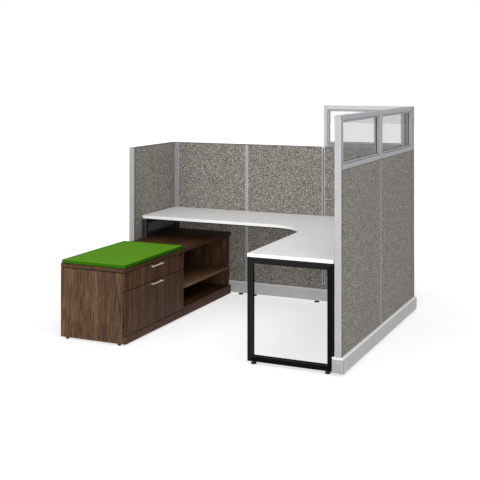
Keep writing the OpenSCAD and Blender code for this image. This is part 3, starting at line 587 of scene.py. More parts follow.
# %% [markdown]
# ## Frames and the step between the walls
# The panels' slotted steel shows as narrow strips between the tiles. Their slots are already real
# holes in the frame, so those nodes stay, with the powder coat of the real frame. Where the back
# wall steps up from low to tall, a soft black seal closes the joint between two panels, with a small
# painted cap above it and a foot below, and a scrap of tweed fills the joint under the foot. The seal
# is set back from the tiles, so all of it is placed from the tiles on its two sides.

# %% Panel frames and the step seal
for node in ("left_frame", "back_left_frame", "back_middle_frame", "back_right_frame",
             "right_rear_frame", "right_front_frame"):
    dress(node, frame_coat)
dress("panel_cores", fibre_board)

seal_half = 4 * mm
seal_proud = 0.4 * mm
stile_recess = 2 * mm
seal_end = 14 * mm
seal_cap_height = 10 * mm
seal_cap_proud = 2.5 * mm
foot_rise = 44 * mm
foot_height = 8 * mm
foot_recess = 0.5 * mm
infill_recess = 0.8 * mm
joint_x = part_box("back_middle_tile")[1].x
step_x = (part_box("back_middle_frame")[1].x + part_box("back_right_frame")[0].x) / 2
tile_low, tile_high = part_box("back_right_tile")
stile_y = tile_low.y + stile_recess
foot_z = tile_low.z + foot_rise

for name, low, high, edge, slot, material in (
        ("step_light_seal", (step_x - seal_half, stile_y - seal_proud, tile_low.z + seal_end),
         (step_x + seal_half, stile_y, tile_high.z - seal_end), strip_edge, "black_plastic", nylon),
        ("step_seal_cap", (joint_x, stile_y - seal_cap_proud, tile_high.z - seal_cap_height),
         (tile_low.x, stile_y, tile_high.z), painted_edge, "silver_paint", silver_coat),
        ("step_seal_foot", (joint_x, tile_low.y + foot_recess, foot_z - foot_height),
         (tile_low.x, tile_high.y, foot_z), part_edge, "silver_paint", silver_coat),
        ("step_infill_fabric", (joint_x, tile_low.y + infill_recess, tile_low.z),
         (tile_low.x, tile_high.y, foot_z - foot_height), cap_edge, "fabric_grey", tweed)):
    place(block(name, low, high, edge), "root", slot, material)
print("The seal is", round((tile_high.z - tile_low.z - 2 * seal_end) / mm), "mm long")

# %% [markdown]
# ## Posts, trims, caps and base covers
# The corner posts, the trims on the free ends and the thin caps along the low walls get eased edges.
# A base cover is folded steel with a sloped ledge on top, and the faces that look up take a lighter
# coat than the upright ones, a painted highlight where the ledge faces the studio lamps. On the real
# walls the outer tweed is pulled round the corner posts, and on the low corner a strip of it turns
# inwards too. The wraps are thin blocks, just proud of the steel that they cover.

# %% Posts, trims and base covers
trim_edge = 2 * mm
ledge_slope = 0.2
side_slope = 0.95


def on_ledge(normal):
    """1 for a face that looks up enough to take the painted highlight, and 0 for any other."""
    return int(normal.z > ledge_slope)


def on_cap(normal):
    """Like on_ledge, and 2 for the narrow side where the cap meets a cover: a painted shadow."""
    return 2 if abs(normal.x) > side_slope else on_ledge(normal)


# The corner posts take the darker silver, a painted shade.
for node in ("low_corner_post", "tall_corner_post"):
    place(eased_copy(node, painted_edge), "root", "silver_paint", post_shade_coat, node)
# The trims' rounded edges take the lighter silver coat, a painted highlight.
for node in ("left_end_trim", "right_end_trim"):
    place(eased_copy(node, trim_edge, 2, (trim_coat, silver_coat)), "root", "silver_paint", None, node)
# The covers' up-facing faces take the lighter coat, a painted highlight.
for node in ("inner_base_covers", "outer_base_covers"):
    covers = coat_faces(eased_copy(node, sheet_edge), (silver_coat, ledge_highlight_coat), on_ledge)
    place(covers, "root", "silver_paint", None, node)
# The end caps' ledges take a painted highlight, and their narrow sides a painted shadow.
end_caps = coat_faces(eased_copy("base_end_caps", part_edge), (end_cap_coat, cap_ledge_highlight_coat, cap_coat),
                      on_cap)
place(end_caps, "root", "silver_paint", None, "base_end_caps")
low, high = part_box("outer_base_covers")
print("The base covers are", round((high.z - low.z) / mm), "mm high")

# %% Fabric round the corners, and the walls' caps
wrap_proud = 0.6 * mm
corner_fold = 28 * mm
tile_low, tile_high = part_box("left_tile")
fold = block("low_corner_inner_fabric", (tile_high.x - wrap_proud, tile_high.y, tile_low.z),
             (tile_high.x + wrap_proud, tile_high.y + corner_fold, tile_high.z), wrap_proud / 2)
place(fold, "root", "fabric_grey", tweed)
back_low, back_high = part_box("back_outer_tiles")
for node, side, outer, back_end in (("low_corner_post", "left_outer_tile", 0, back_low.x),
                                    ("tall_corner_post", "right_outer_tiles", 1, back_high.x)):
    face_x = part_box(node)[outer].x
    face_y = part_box(node)[1].y
    tile_low, tile_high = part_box(side)
    top = min(tile_high.z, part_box(node)[1].z - wrap_proud)
    x0, x1 = sorted((face_x, back_end))
    wraps = [block(node, (face_x - wrap_proud, tile_high.y, tile_low.z),
                   (face_x + wrap_proud, face_y + wrap_proud, top), wrap_proud / 2),
             block(node, (x0, face_y - wrap_proud, tile_low.z), (x1, face_y + wrap_proud, top),
                   wrap_proud / 2)]
    place(join(node + "_fabric", wraps), "root", "fabric_grey", tweed)
place(eased_copy("top_caps", cap_edge), "root", "silver_paint", cap_coat, "top_caps")
print("Fabric stands", round(wrap_proud / mm, 1), "mm proud of the posts")

# %% [markdown]
# The slots up each seam are only as deep as the steel is thick, so they would not read dark. Each
# gets a black nylon blank, a painted shade of a deep slot. Beside the end trims a thin dark strip
# fills the narrow gap before the fabric, a painted shadow line. The blanks repeat at the slots' real
# pitch, so one is modelled and copied up the seam.

# %% Slot blanks and strips of painted shade
slot_pitch = 25.4 * mm
slot_height = 13 * mm
slot_width = 4 * mm
slot_rise = 20 * mm
shade_blank_recess = 0.3 * mm
shade_blank_back = 1.35 * mm
strip_proud = 1.2 * mm
slot_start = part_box("inner_base_covers")[1].z + slot_rise


def across(axis, u, w, z):
    """A point from its place along the wall, across it and up."""
    return Vector((u, w, z)) if axis == 0 else Vector((w, u, z))


def copies(name, first, offsets):
    """Copies of a piece at each offset from it, all in one mesh."""
    made = [first]
    for offset in offsets:
        twin = first.copy()
        twin.data = first.data.copy()
        twin.data.transform(Matrix.Translation(offset))
        bpy.context.scene.collection.objects.link(twin)
        made.append(twin)
    return join(name, made)


def slot_shade_blanks(name, axis, seam, faces, top):
    """A column of dark blanks up one seam, on both faces of the wall: painted shade in the slots."""
    made = []
    fit = slot_width / 2 - clean_gap
    count = int((top - slot_height - slot_start) / slot_pitch) + 1
    for face, inwards in zip(faces, (1, -1)):
        w0, w1 = sorted((face + inwards * shade_blank_recess, face + inwards * shade_blank_back))
        first = block(name, across(axis, seam - fit, w0, slot_start + clean_gap),
                      across(axis, seam + fit, w1, slot_start + slot_height - clean_gap))
        made.append(copies(name, first, [Vector((0, 0, k * slot_pitch)) for k in range(1, count)]))
    return place(join(name, made), "root", "black_plastic", nylon)


def add_shade_strips(name, axis, along, faces, bottom, top):
    """Two thin dark strips in the gap between two places along a wall, one on each face: a painted shadow.
    """
    made = []
    for face, outwards in zip(faces, (-strip_proud, strip_proud)):
        w0, w1 = sorted((face, face + outwards))
        made.append(block(name, across(axis, along[0], w0, bottom), across(axis, along[1], w1, top),
                          strip_edge))
    return place(join(name, made), "root", "black_plastic", shade_strip)


print("Slots start at", round(slot_start / mm), "mm and repeat every", round(slot_pitch / mm, 1), "mm")

# %% Painted shade: blanks in the seams, strips beside the trims
for name, axis, node, end in (("back_corner", 0, "back_left_frame", 0),
                              ("back_seam", 0, "back_left_frame", 1),
                              ("right_seam", 1, "right_front_frame", 1)):
    low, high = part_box(node)
    seam = (low, high)[end][axis]
    slot_shade_blanks(name + "_slot_shade_blanks", axis, seam, (low[1 - axis], high[1 - axis]), high.z)

# Painted shadow: a dark strip on each face in the gap beside each end trim.
for name, trim, steel, inner in (("left", "left_end_trim", "left_frame", "left_tile"),
                                 ("right", "right_end_trim", "right_front_frame", "right_front_tile")):
    low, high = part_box(steel)
    tile_low, tile_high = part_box(inner)
    add_shade_strips(name + "_trim_shade_strips", 1, (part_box(trim)[1].y, tile_low.y), (low.x, high.x),
                tile_low.z, high.z)
print("Strips stand", round(strip_proud / mm, 1), "mm proud of the steel")

# %% [markdown]
# ## Glass frames
# The glass on the tall walls stands in a frame of four aluminium bars, each with a narrower stop
# inside it that steps back from the bar's face and holds the pane in a rubber gasket. A thin dark
# strip between bar and stop is a painted shadow line, a dark strip under the whole frame, where it
# stands on the panel, is a painted shadow, and beside the end trims a dark strip paints the shade of
# the reveal. The uprights run the full height, and the cross bars fit between them. Bars, stops and
# gaskets are blocks, laid out once along the wall and turned to X or Y by the wall that they stand
# on. Each pane is a block too, with the ground edges of tempered glass.

# %% Four bars round a frame
bar_width = 32 * mm
stop_width = 13 * mm
stop_recess = 9 * mm
bar_edge = 1.5 * mm
stop_edge = 0.8 * mm
gasket_width = 2.5 * mm
gasket_proud = 2.5 * mm
pane_half = 3 * mm


def rim(name, axis, low, high, depth, width, edge, reveals=(0, 0)):
    """Four bars round a frame from low to high: uprights at full height, cross bars between them."""
    u0, u1 = low[axis] + depth[0], high[axis] - depth[0]
    z0, z1 = low.z + depth[0], high.z - depth[0]
    w0, w1 = low[1 - axis] + depth[1], high[1 - axis] - depth[1]
    spans = [(u0 + reveals[0], u0 + width, z0, z1), (u1 - width, u1 - reveals[1], z0, z1),
             (u0 + width, u1 - width, z0, z0 + width), (u0 + width, u1 - width, z1 - width, z1)]
    return [block(name, across(axis, a, w0, c), across(axis, b, w1, d), edge)
            for a, b, c, d in spans]


print("Glass frame bars are", round(bar_width / mm), "mm wide")

# %% Glass frames, gaskets and panes
trim_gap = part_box("left_tile")[0].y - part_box("left_end_trim")[1].y
bar_shade_width = 3 * mm
bar_shade_proud = 1 * mm
line_height = 3 * mm
line_recess = 0.3 * mm
# On the back frame the lower bar takes a painted shade and the upper bar painted light.
for node, axis, reveals, coats in (
        ("back_glass_frame", 0, (0, trim_gap), (bar_coat, bar_coat, shaded_bar_coat, lit_bar_coat)),
        ("right_rear_glass_frame", 1, (0, 0), (bar_coat,) * 4),
        ("right_front_glass_frame", 1, (trim_gap, 0), (bar_coat,) * 4)):
    low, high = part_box(node)
    wall = high[1 - axis] - low[1 - axis]
    bars = rim(node, axis, low, high, (0, 0), bar_width, bar_edge, reveals)
    for made, coat in zip(bars, coats):
        made.data.materials.append(coat)
    place(join(node + "_bars", bars), "root", "silver_paint", None, node)
    # A dark strip under the frame, a painted shadow where it stands on the panel.
    line = block(node + "_line",
                 across(axis, low[axis], low[1 - axis] + line_recess, low.z - line_height),
                 across(axis, high[axis], high[1 - axis] - line_recess, low.z))
    place(line, "root", "black_plastic", shade_strip)
    # Beside an end trim, a dark strip, a painted shade of the reveal.
    for end, reveal in ((low, reveals[0]), (high, -reveals[1])):
        if reveal:
            start, stop = sorted((end[axis], end[axis] + reveal))
            strip = block(node + "_vinyl", across(axis, start, low[1 - axis] + stile_recess, low.z),
                          across(axis, stop, high[1 - axis] - stile_recess, high.z - stile_recess),
                          strip_edge)
            place(strip, "root", "black_plastic", shade_strip)
    # A thin dark strip between bar and stop, a painted shadow line.
    bar_shade_lines = rim(node, axis, low, high, (bar_width - clean_gap, stop_recess - bar_shade_proud),
                 bar_shade_width, strip_edge)
    place(join(node + "_wipers", bar_shade_lines), "root", "black_plastic", shade_strip)
    stops = rim(node, axis, low, high, (bar_width, stop_recess), stop_width, stop_edge)
    place(join(node + "_stops", stops), "root", "silver_paint", stop_coat, node)
    inner = bar_width + stop_width
    strips = rim(node, axis, low, high, (inner, wall / 2 - pane_half - gasket_proud),
                 gasket_width, sheet_edge)
    place(join(node + "_gasket", strips), "root", "black_plastic", nylon)

for low, high in solids("glass_panes"):
    on_back = high.x - low.x > high.y - low.y
    pane = block("back_pane" if on_back else "side_pane", low, high, part_edge)
    place(pane, "root", "clear_glass", back_glass if on_back else side_glass, "glass_panes")
print("Panes:", len(solids("glass_panes")))

# %% [markdown]
# ## Feet and glides
# Walls, leg and credenza all stand on levelling feet: a moulded pad with a rounded rim, a nut that a
# wrench turns, and a threaded stem. They differ only in size, so one function models a foot from
# cylinders, a six-sided nut and rounded edges, and each foot is a copy of the first.

# %% Levelling feet
stem_radius = 5 * mm
nut_radius = 10 * mm
pad_rim = 1.5 * mm
nut_sides = 6
stem_sides = 24
foot_sizes = {"panel_glides": (21.5 * mm, 9 * mm, 13 * mm), "loop_leg_feet": (18.5 * mm, 10 * mm, 19 * mm),
              "credenza_feet": (12 * mm, 12 * mm, 12 * mm)}


def round_bar(name, radius, low, high, sides=48, edge=0.0, axis=(0, 0, 1)):
    """A straight round or many-sided bar from one end to the other."""
    low, high = Vector(low), Vector(high)
    only()
    bpy.ops.mesh.primitive_cylinder_add(vertices=sides, radius=radius, depth=(high - low).length,
                                        location=(low + high) / 2,
                                        rotation=Vector(axis).to_track_quat("Z", "Y").to_euler())
    piece = bpy.context.object
    piece.name = name
    bpy.ops.object.transform_apply(location=True, rotation=True, scale=True)
    return ease(piece, edge) if edge else piece


def feet(node, pad_radius, pad_height, nut_top):
    """All the feet of a node: their pads' radius and height, and how high their nuts reach."""
    boxes = solids(node)
    low, high = boxes[0]
    centre = (low + high) / 2
    base = Vector((centre.x, centre.y, low.z))
    up = Vector((0, 0, 1))
    parts = [round_bar(node, pad_radius, base, base + up * pad_height, edge=pad_rim)]
    if nut_top > pad_height:
        parts.append(round_bar(node, nut_radius, base + up * pad_height, base + up * nut_top,
                               nut_sides, cap_edge))
    parts.append(round_bar(node, stem_radius, base + up * nut_top, Vector((base.x, base.y, high.z)),
                           stem_sides, sheet_edge))
    first = join(node, parts)
    places = [(a + b) / 2 - centre for a, b in boxes[1:]]
    place(copies(node + "_moulded", first, places), "root", "black_plastic", nylon, node)
    return len(boxes)


print("Feet:", sum(feet(node, *sizes) for node, sizes in foot_sizes.items()))

# %% [markdown]
# ## Worksurfaces
# Each top is a chipboard slab with laminate on its face, a plastic band glued round its edge and a
# black phenolic backer below, which keeps the slab flat. The black also runs up a wide bevel on the
# bottom edge, where it is a painted shadow line under the top. The straight one is a slab with a round
# front corner. The corner one sweeps into the return, and that sweep is what the eye follows, so it
# is made as a shop would mark it out: the straight stretch, the return drawn out of it as a second
# leg, and the inside corner cut to one 300 mm arc. In edit mode that is a bisect, an extrude and a
# bevel of one upright edge.

# %% Worksurfaces
top_edge = 2 * mm
corner_radius = 300 * mm
outer_radius = 20 * mm
bottom_edge = 6 * mm
outer_rounds = 8
sweep_rounds = 32
close = 0.5 * mm


def round_upright(piece, x, y, radius, rounds):
    """Bevels the one upright edge that stands at x, y."""
    edit(piece, "EDGE")
    pick(piece, "edges", lambda edge: all(abs(v.co.x - x) < close and abs(v.co.y - y) < close
                                          for v in edge.verts))
    bpy.ops.mesh.bevel(offset=radius, segments=rounds, affect="EDGES")
    bpy.ops.object.mode_set(mode="OBJECT")


def back_with_black(piece, low_z):
    """White above and black below, where the bottom edges are bevelled too: a painted shadow line."""
    piece.data.materials.append(white_laminate)
    piece.data.materials.append(backer_and_shadow)
    edit(piece, "EDGE")
    pick(piece, "edges", lambda edge: all(abs(v.co.z - low_z) < close for v in edge.verts))
    bpy.ops.mesh.bevel(offset=bottom_edge, segments=2, affect="EDGES", material=1)
    bpy.ops.object.mode_set(mode="OBJECT")
    for face in piece.data.polygons:
        if face.normal.z < -facing:
            face.material_index = 1
    return ease(piece, top_edge, 3)


def draw_out(piece, start, end, reach):
    """Draws the front face between two x places out by a reach along Y, as a second leg of the slab."""
    edit(piece, "FACE")
    for x in (start, end):
        bpy.ops.mesh.select_all(action="SELECT")
        bpy.ops.mesh.bisect(plane_co=(x, 0, 0), plane_no=(1, 0, 0))
    bpy.ops.mesh.select_all(action="DESELECT")
    pick(piece, "faces", lambda face: face.normal.y < -facing
         and start < face.calc_center_median().x < end)
    bpy.ops.mesh.extrude_region_move(TRANSFORM_OT_translate={"value": (0, reach, 0)})
    bpy.ops.mesh.select_all(action="SELECT")
    bpy.ops.mesh.dissolve_limited(angle_limit=flat_limit)
    bpy.ops.object.mode_set(mode="OBJECT")


low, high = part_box("straight_worksurface")
straight = block("straight_top", low, high)
round_upright(straight, low.x, low.y, outer_radius, outer_rounds)
front = low.y
place(back_with_black(straight, low.z), "root", "white_laminate", None, "straight_worksurface")

low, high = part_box("corner_worksurface")
inner_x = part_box("loop_leg")[0].x
corner = block("corner_top", (low.x, front, low.z), high)
draw_out(corner, inner_x, high.x, low.y - front)
round_upright(corner, inner_x, front, corner_radius, sweep_rounds)
place(back_with_black(corner, low.z), "root", "white_laminate", None, "corner_worksurface")
print("The return reaches", round((high.y - low.y) / mm), "mm from the wall")

# %% [markdown]
# ## Welded legs
# The leg under the return is a loop of square steel tube, mitred at its four corners and welded, and
# the riser on the credenza is a lower loop of the same tube. Each side is a block with the tube's
# small corner radius, and its two ends are bisected at 45 degrees, which leaves the fine mitre line
# that shows on the real one. The top tube and the near upright take a lighter black, painted light,
# the riser a dark grey, painted light too, and all edges a lighter coat, a painted highlight.

# %% Loop leg and riser
tube = 38 * mm
tube_corner = 2.5 * mm
mitre_gap = 0.15 * mm


def piece_middle(low, high):
    return (Vector(low) + Vector(high)) / 2


def mitred_tube(name, axis, low, high, corner_a, corner_b, middle, coats):
    """One side of a loop: a tube whose ends are cut along the lines from the loop's corners."""
    piece = block(name, low, high)
    for coat in coats:
        piece.data.materials.append(coat)
    # The rounded edges take the second coat, a painted highlight.
    ease(piece, tube_corner, 3, 1)
    only(piece)
    bpy.ops.object.mode_set(mode="EDIT")
    for corner in (corner_a, corner_b):
        diagonal = Vector((0, 0, 0))
        diagonal[axis] = 1 if corner[axis] < middle[axis] else -1
        diagonal.z = 1 if corner.z < middle.z else -1
        inwards = Vector((0, 0, 0))
        inwards[axis], inwards.z = diagonal.z, -diagonal[axis]
        if inwards.dot(piece_middle(low, high) - corner) < 0:
            inwards.negate()
        bpy.ops.mesh.select_all(action="SELECT")
        bpy.ops.mesh.bisect(plane_co=corner + inwards.normalized() * mitre_gap, plane_no=inwards,
                            use_fill=True, clear_inner=True)
    bpy.ops.object.mode_set(mode="OBJECT")
    return ease(piece, 0)


def loop(node, axis, coats, highlight_coat):
    """The four mitred tubes of one loop: bottom, far upright, top and near upright."""
    low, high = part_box(node)
    middle = piece_middle(low, high)
    corners = [Vector(low) for _ in range(4)]
    for corner, (far, up) in zip(corners, ((0, 0), (1, 0), (1, 1), (0, 1))):
        corner[axis] = high[axis] if far else low[axis]
        corner.z = high.z if up else low.z
    made = []
    for i, (a, b) in enumerate(((0, 1), (1, 2), (3, 2), (0, 3))):
        start, end = Vector(low), Vector(high)
        if i in (0, 2):
            start.z, end.z = (low.z, low.z + tube) if i == 0 else (high.z - tube, high.z)
        else:
            start[axis], end[axis] = ((high[axis] - tube, high[axis]) if i == 1
                                      else (low[axis], low[axis] + tube))
        made.append(mitred_tube(node, axis, start, end, corners[a], corners[b], middle,
                                (coats[i], highlight_coat)))
    return join(node + "_tubes", made)


# The leg's top tube and near upright, and the whole riser, take painted light.
for node, axis, coats, highlight_coat in (
        ("loop_leg", 0, (black_coat, black_coat, lit_black_coat, lit_black_coat), tube_edge_highlight),
        ("riser_leg", 1, (lit_riser_coat,) * 4, riser_edge_highlight)):
    place(loop(node, axis, coats, highlight_coat), "root", "black_steel", None, node)

# %% [markdown]
# ## Brackets, plates and screws
# Under the tops sit the steel parts that nobody looks at until they crawl below: cantilever
# brackets that hook in the slotted posts, flat plates across the seam, and screws. They keep the
# frame's shapes, and the brackets and plates get the small radius that a press leaves.

# %% Hidden steel
for node in ("worksurface_brackets", "joining_plates"):
    place(eased_copy(node, sheet_edge), "root", "zinc_steel", zinc, node)
for node in ("worksurface_screws", "cabinet_slide_members", "upper_middle_slides",
             "lower_middle_slides", "upper_drawer_slides", "lower_drawer_slides"):
    dress(node, zinc)
print("Screws:", len(solids("worksurface_screws")))

# %% [markdown]
# ## Credenza
# The credenza is built from laminated boards, glued and dowelled, and what tells them apart is
# the thin shadow between them and the dark line along their edge bands. So each board is its own
# block, exactly where the frame has it, with a 1.6 mm edge, and its grain stands upright or
# lies lengthwise as the board was cut. The rounded edges take a dark coat that is partly the
# laminate's dark line and partly painted shadow between the boards. Where an upright board meets the
# top, it stands off it by a shadow gap, on a smaller block in the same dark coat, a painted shade in
# the reveal. The lock's cam swings up behind the drawer front, so the top board has a pocket there,
# cut with a Boolean modifier.

# %% Boards
board_edge = 1.6 * mm
shadow_gap = 3.5 * mm
shadow_depth = 6 * mm


def board(name, low, high, finish, axis=None, side=0):
    """A board whose eased edges show the laminate's dark line and a painted shadow. Where it has an axis
    and a side, it stands off what it meets there by a shadow gap, on a smaller dark block, a painted shade."""
    low, high = Vector(low), Vector(high)
    parts = []
    if axis is not None:
        inner_low = low + Vector((shadow_depth,) * 3)
        inner_high = high - Vector((shadow_depth,) * 3)
        if side:
            inner_high[axis], inner_low[axis] = high[axis], high[axis] - shadow_gap
            high[axis] -= shadow_gap
        else:
            inner_low[axis], inner_high[axis] = low[axis], low[axis] + shadow_gap
            low[axis] += shadow_gap
        parts.append(block(name, inner_low, inner_high))
    parts.append(block(name, low, high))
    for part, kept in zip(parts, ((edge_line_and_shade, finish) if axis is not None else (finish,))):
        part.data.materials.append(kept)
    parts[-1].data.materials.append(edge_line_and_shade)
    ease(parts[-1], board_edge, 2, 1)
    return join(name, parts[::-1])


boards = {"credenza_top": (walnut_along, None, 0), "front_end_panel": (walnut_upright, 2, 1),
          "rear_end_panel": (walnut_upright, 2, 1), "centre_partition": (walnut_front, 2, 1),
          "credenza_back": (walnut_upright, None, 0), "credenza_deck": (walnut_along, None, 0),
          "bay_shelf": (lit_walnut_shelf, None, 0)}
for node, (material, axis, side) in boards.items():
    piece = board(node + "_board", *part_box(node), material, axis, side)
    place(piece, "root", "walnut_laminate", None, node)
place(eased_copy("plinth", board_edge, 2, (walnut_along, edge_line_and_shade)), "root", "walnut_laminate", None,
      "plinth")
print("Boards on a shadow gap:", [node for node, (material, axis, side) in boards.items() if side])

# %% Pocket for the lock's cam
pocket_gap = 2 * mm
pocket_depth = 12 * mm
cam_thickness = 2 * mm
plug_low, plug_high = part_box("lock_plug")
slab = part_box("credenza_top")[0].z
cutter = block("cutter", (plug_low.x - pocket_gap, plug_low.y - pocket_gap, slab - pocket_gap),
               (plug_low.x + cam_thickness + pocket_gap, plug_high.y, slab + pocket_depth))
credenza_top = bpy.data.objects["credenza_top_board"]
apply_modifier(credenza_top, "BOOLEAN", object=cutter, operation="DIFFERENCE")
bpy.data.objects.remove(cutter)
print("Pocket depth:", round(pocket_depth / mm), "mm")

# %% [markdown]
# ## Drawers
# A drawer is a walnut front on a plain birch box. The box is five boards, and the bottom sits
# up inside the other four, so there is a small step all round it to look into when it is open.

# %% Drawer fronts and boxes
box_side = 12 * mm
box_bottom = 6 * mm
box_bottom_up = 8 * mm


def drawer_box(name, low, high):
    """Two sides, a front and a back between them, and a bottom raised inside the four."""
    inside_low = low + Vector((box_side, box_side, 0))
    inside_high = high - Vector((box_side, box_side, 0))
    parts = [(low, (high.x, inside_low.y, high.z)),
             ((low.x, inside_high.y, low.z), high),
             ((low.x, inside_low.y, low.z), (inside_low.x, inside_high.y, high.z)),
             ((inside_high.x, inside_low.y, low.z), (high.x, inside_high.y, high.z)),
             (inside_low + Vector((0, 0, box_bottom_up)),
              (inside_high.x, inside_high.y, low.z + box_bottom_up + box_bottom))]
    return join(name, [block(name, a, b, part_edge) for a, b in parts])


for level in ("upper", "lower"):
    body = level + "_drawer"
    low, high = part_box(body + "_box")
    place(drawer_box(body + "_boards", low, high), body, "birch_board", birch_board, body + "_box")
place(board("lower_front_board", *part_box("lower_drawer_front"), walnut_front, 0, 0), "lower_drawer",
      "walnut_laminate", None, "lower_drawer_front")
place(eased_copy("upper_drawer_front", board_edge, 2, (walnut_front, edge_line_and_shade)), "upper_drawer",
      "walnut_laminate", None, "upper_drawer_front")
print("Drawer box height:", round((high.z - low.z) / mm), "mm")

# %% [markdown]
# ## Pulls and lock
# A pull is a solid nickel-plated bar on two posts, with a small radius at each end and a little
# washer under each post. The lock beside it is a black enamelled barrel with a rim, and a plug with a
# keyway and the cam behind it. The plug is real and turns, so both shapes come from the frame, with
# their edges eased.

# %% Pulls and lock
pull_bar = 4 * mm
pull_post = 3 * mm
pull_post_share = 0.39
pull_washer = 4.5 * mm
washer_height = 2 * mm
bar_sides = 32
post_sides = 24
pull_end = 0.8 * mm
plug_edge = 0.2 * mm


def pull(node):
    low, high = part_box(node)
    x = high.x - pull_bar
    z = (low.z + high.z) / 2
    length = high.y - low.y
    middle = (low.y + high.y) / 2
    parts = [round_bar(node, pull_bar, (x, low.y, z), (x, high.y, z), bar_sides, pull_end,
                       (0, 1, 0))]
    for side in (-1, 1):
        y = middle + side * pull_post_share * length
        parts.append(round_bar(node, pull_post, (low.x, y, z), (x, y, z), post_sides, 0, (1, 0, 0)))
        parts.append(round_bar(node, pull_washer, (low.x, y, z), (low.x + washer_height, y, z),
                               bar_sides, cap_edge, (1, 0, 0)))
    return join(node + "_bar", parts)


for level in ("upper", "lower"):
    place(pull(level + "_pull"), level + "_drawer", "nickel_satin", nickel, level + "_pull")
place(eased_copy("lock_barrel", strip_edge), "upper_drawer", "nickel_satin", lock_enamel,
      "lock_barrel")
place(eased_copy("lock_plug", plug_edge), "lock", "black_plastic", lock_enamel, "lock_plug")
low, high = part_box("upper_pull")
print("Pull length:", round((high.y - low.y) / mm), "mm")

# %% [markdown]
# ## Seat pad
# The seat is a slab of firm foam in a tight green cover, sewn as a box: a top panel, a band round the
# sides and a base, with a piped seam between them. Foam pushes the cover out between its seams, so
# the top crowns and the sides draw in a little from corner to corner. A subdivided block would crown
# evenly like a pillow, so the cover is simulated as cloth with air pressure inside, no point may move
# further than the foam would push it, and a little smoothing takes out the wrinkles of a coarse mesh.

# %% Cover fabric
pad_thread = 1.5 * mm
wool_size = 5 * mm
cover_relief = 0.3 * mm
seam_band = 5 * mm
dye_places = (0.3, 0.5, 0.7)


def make_cover(name, tones):
    """Matt wool in a plain weave, painted darker below the top: a painted shade on the band round the sides.
    """
    material, tree, places, shader = new_material(name, Roughness=0.95, Specular_IOR_Level=0.1)
    fibre = add_node(tree, "ShaderNodeTexNoise", {"Scale": 1 / wool_size, "Detail": 3.0},
                     {"Vector": places}).outputs["Fac"]
    dyed = add_node(tree, "ShaderNodeValToRGB", links={"Fac": fibre},
                    stops=list(zip(dye_places, tones)))
    axes = add_node(tree, "ShaderNodeSeparateXYZ", links={"Vector": places}).outputs
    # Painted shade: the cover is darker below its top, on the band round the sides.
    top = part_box("seat_pad")[1].z
    band = add_node(tree, "ShaderNodeMapRange", {"From Min": top - seam_band, "From Max": top},
                    {"Value": axes["Z"]}).outputs["Result"]
    side_shade = add_node(tree, "ShaderNodeValToRGB", links={"Fac": band},
                   stops=[(0.0, "#94b678"), (0.6, "#ffffff")])
    cloth = add_node(tree, "ShaderNodeMix", {"Factor": 1.0}, {"A": dyed.outputs[0], "B": side_shade.outputs[0]},
                     data_type="RGBA", blend_type="MULTIPLY")
    tree.links.new(cloth.outputs["Result"], shader["Base Color"])
    add_node(tree, "ShaderNodeBump", {"Distance": cover_relief},
             {"Height": woven(tree, axes["X"], axes["Y"], pad_thread)}, feeds=shader["Normal"])
    return material


cover = make_cover("green woven wool cover", ("#508a10", "#5a9418", "#67a022"))
piping_cover = make_cover("dark green wool piping", ("#3a640a", "#426d10", "#4c7717"))
print("Cover threads every", pad_thread / mm, "mm")

# %% Foam block and simulated cover
pad_slack = 0.5 * mm
pad_corner = 4 * mm
corner_rounds = 6
foam_edge = 2 * mm
pad_voxel = 6.5 * mm
pad_cap = 2.5 * mm
pad_crown = 2 * mm
smoothing_rounds = 3
smoothing_share = 0.5
pad_pressure = 4
pressure_frames = 20


def simulate(piece, cap):
    """Air pressure swells the cover as cloth, and no point moves further than the cap."""
    start = [v.co.copy() for v in piece.data.vertices]
    only(piece)
    bpy.ops.object.modifier_add(type="CLOTH")
    cloth = piece.modifiers[-1]
    cloth.settings.use_pressure = True
    cloth.settings.uniform_pressure_force = pad_pressure
    cloth.settings.effector_weights.gravity = 0
    scene = bpy.context.scene
    for step in range(1, pressure_frames + 1):
        scene.frame_set(step)
    bpy.ops.object.modifier_apply(modifier=cloth.name)
    scene.frame_set(1)
    for vertex, origin in zip(piece.data.vertices, start):
        moved = vertex.co - origin
        if moved.length > cap:
            vertex.co = origin + moved.normalized() * cap


pad_low, pad_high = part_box("seat_pad")
foam_low = pad_low + Vector((pad_slack, pad_slack, 0))
foam_high = pad_high - Vector((pad_slack,) * 3)
pad = block("seat_cushion", foam_low, foam_high)
for x in (foam_low.x, foam_high.x):
    for y in (foam_low.y, foam_high.y):
        round_upright(pad, x, y, pad_corner, corner_rounds)
ease(pad, foam_edge)
only(pad)
pad.data.remesh_voxel_size = pad_voxel
bpy.ops.object.voxel_remesh()
simulate(pad, pad_cap)
apply_modifier(pad, "SMOOTH", factor=smoothing_share, iterations=smoothing_rounds)
for vertex in pad.data.vertices:
    vertex.co.z = min(max(vertex.co.z, pad_low.z), pad_high.z + pad_crown)
apply_modifier(pad, "SUBSURF", levels=1, render_levels=1)
only(pad)
bpy.ops.object.shade_smooth()
place(pad, "root", "green_cover", cover, "seat_pad")
print("Cover corners after the simulation:", len(pad.data.vertices))

# %% Piping
piping = 3.5 * mm


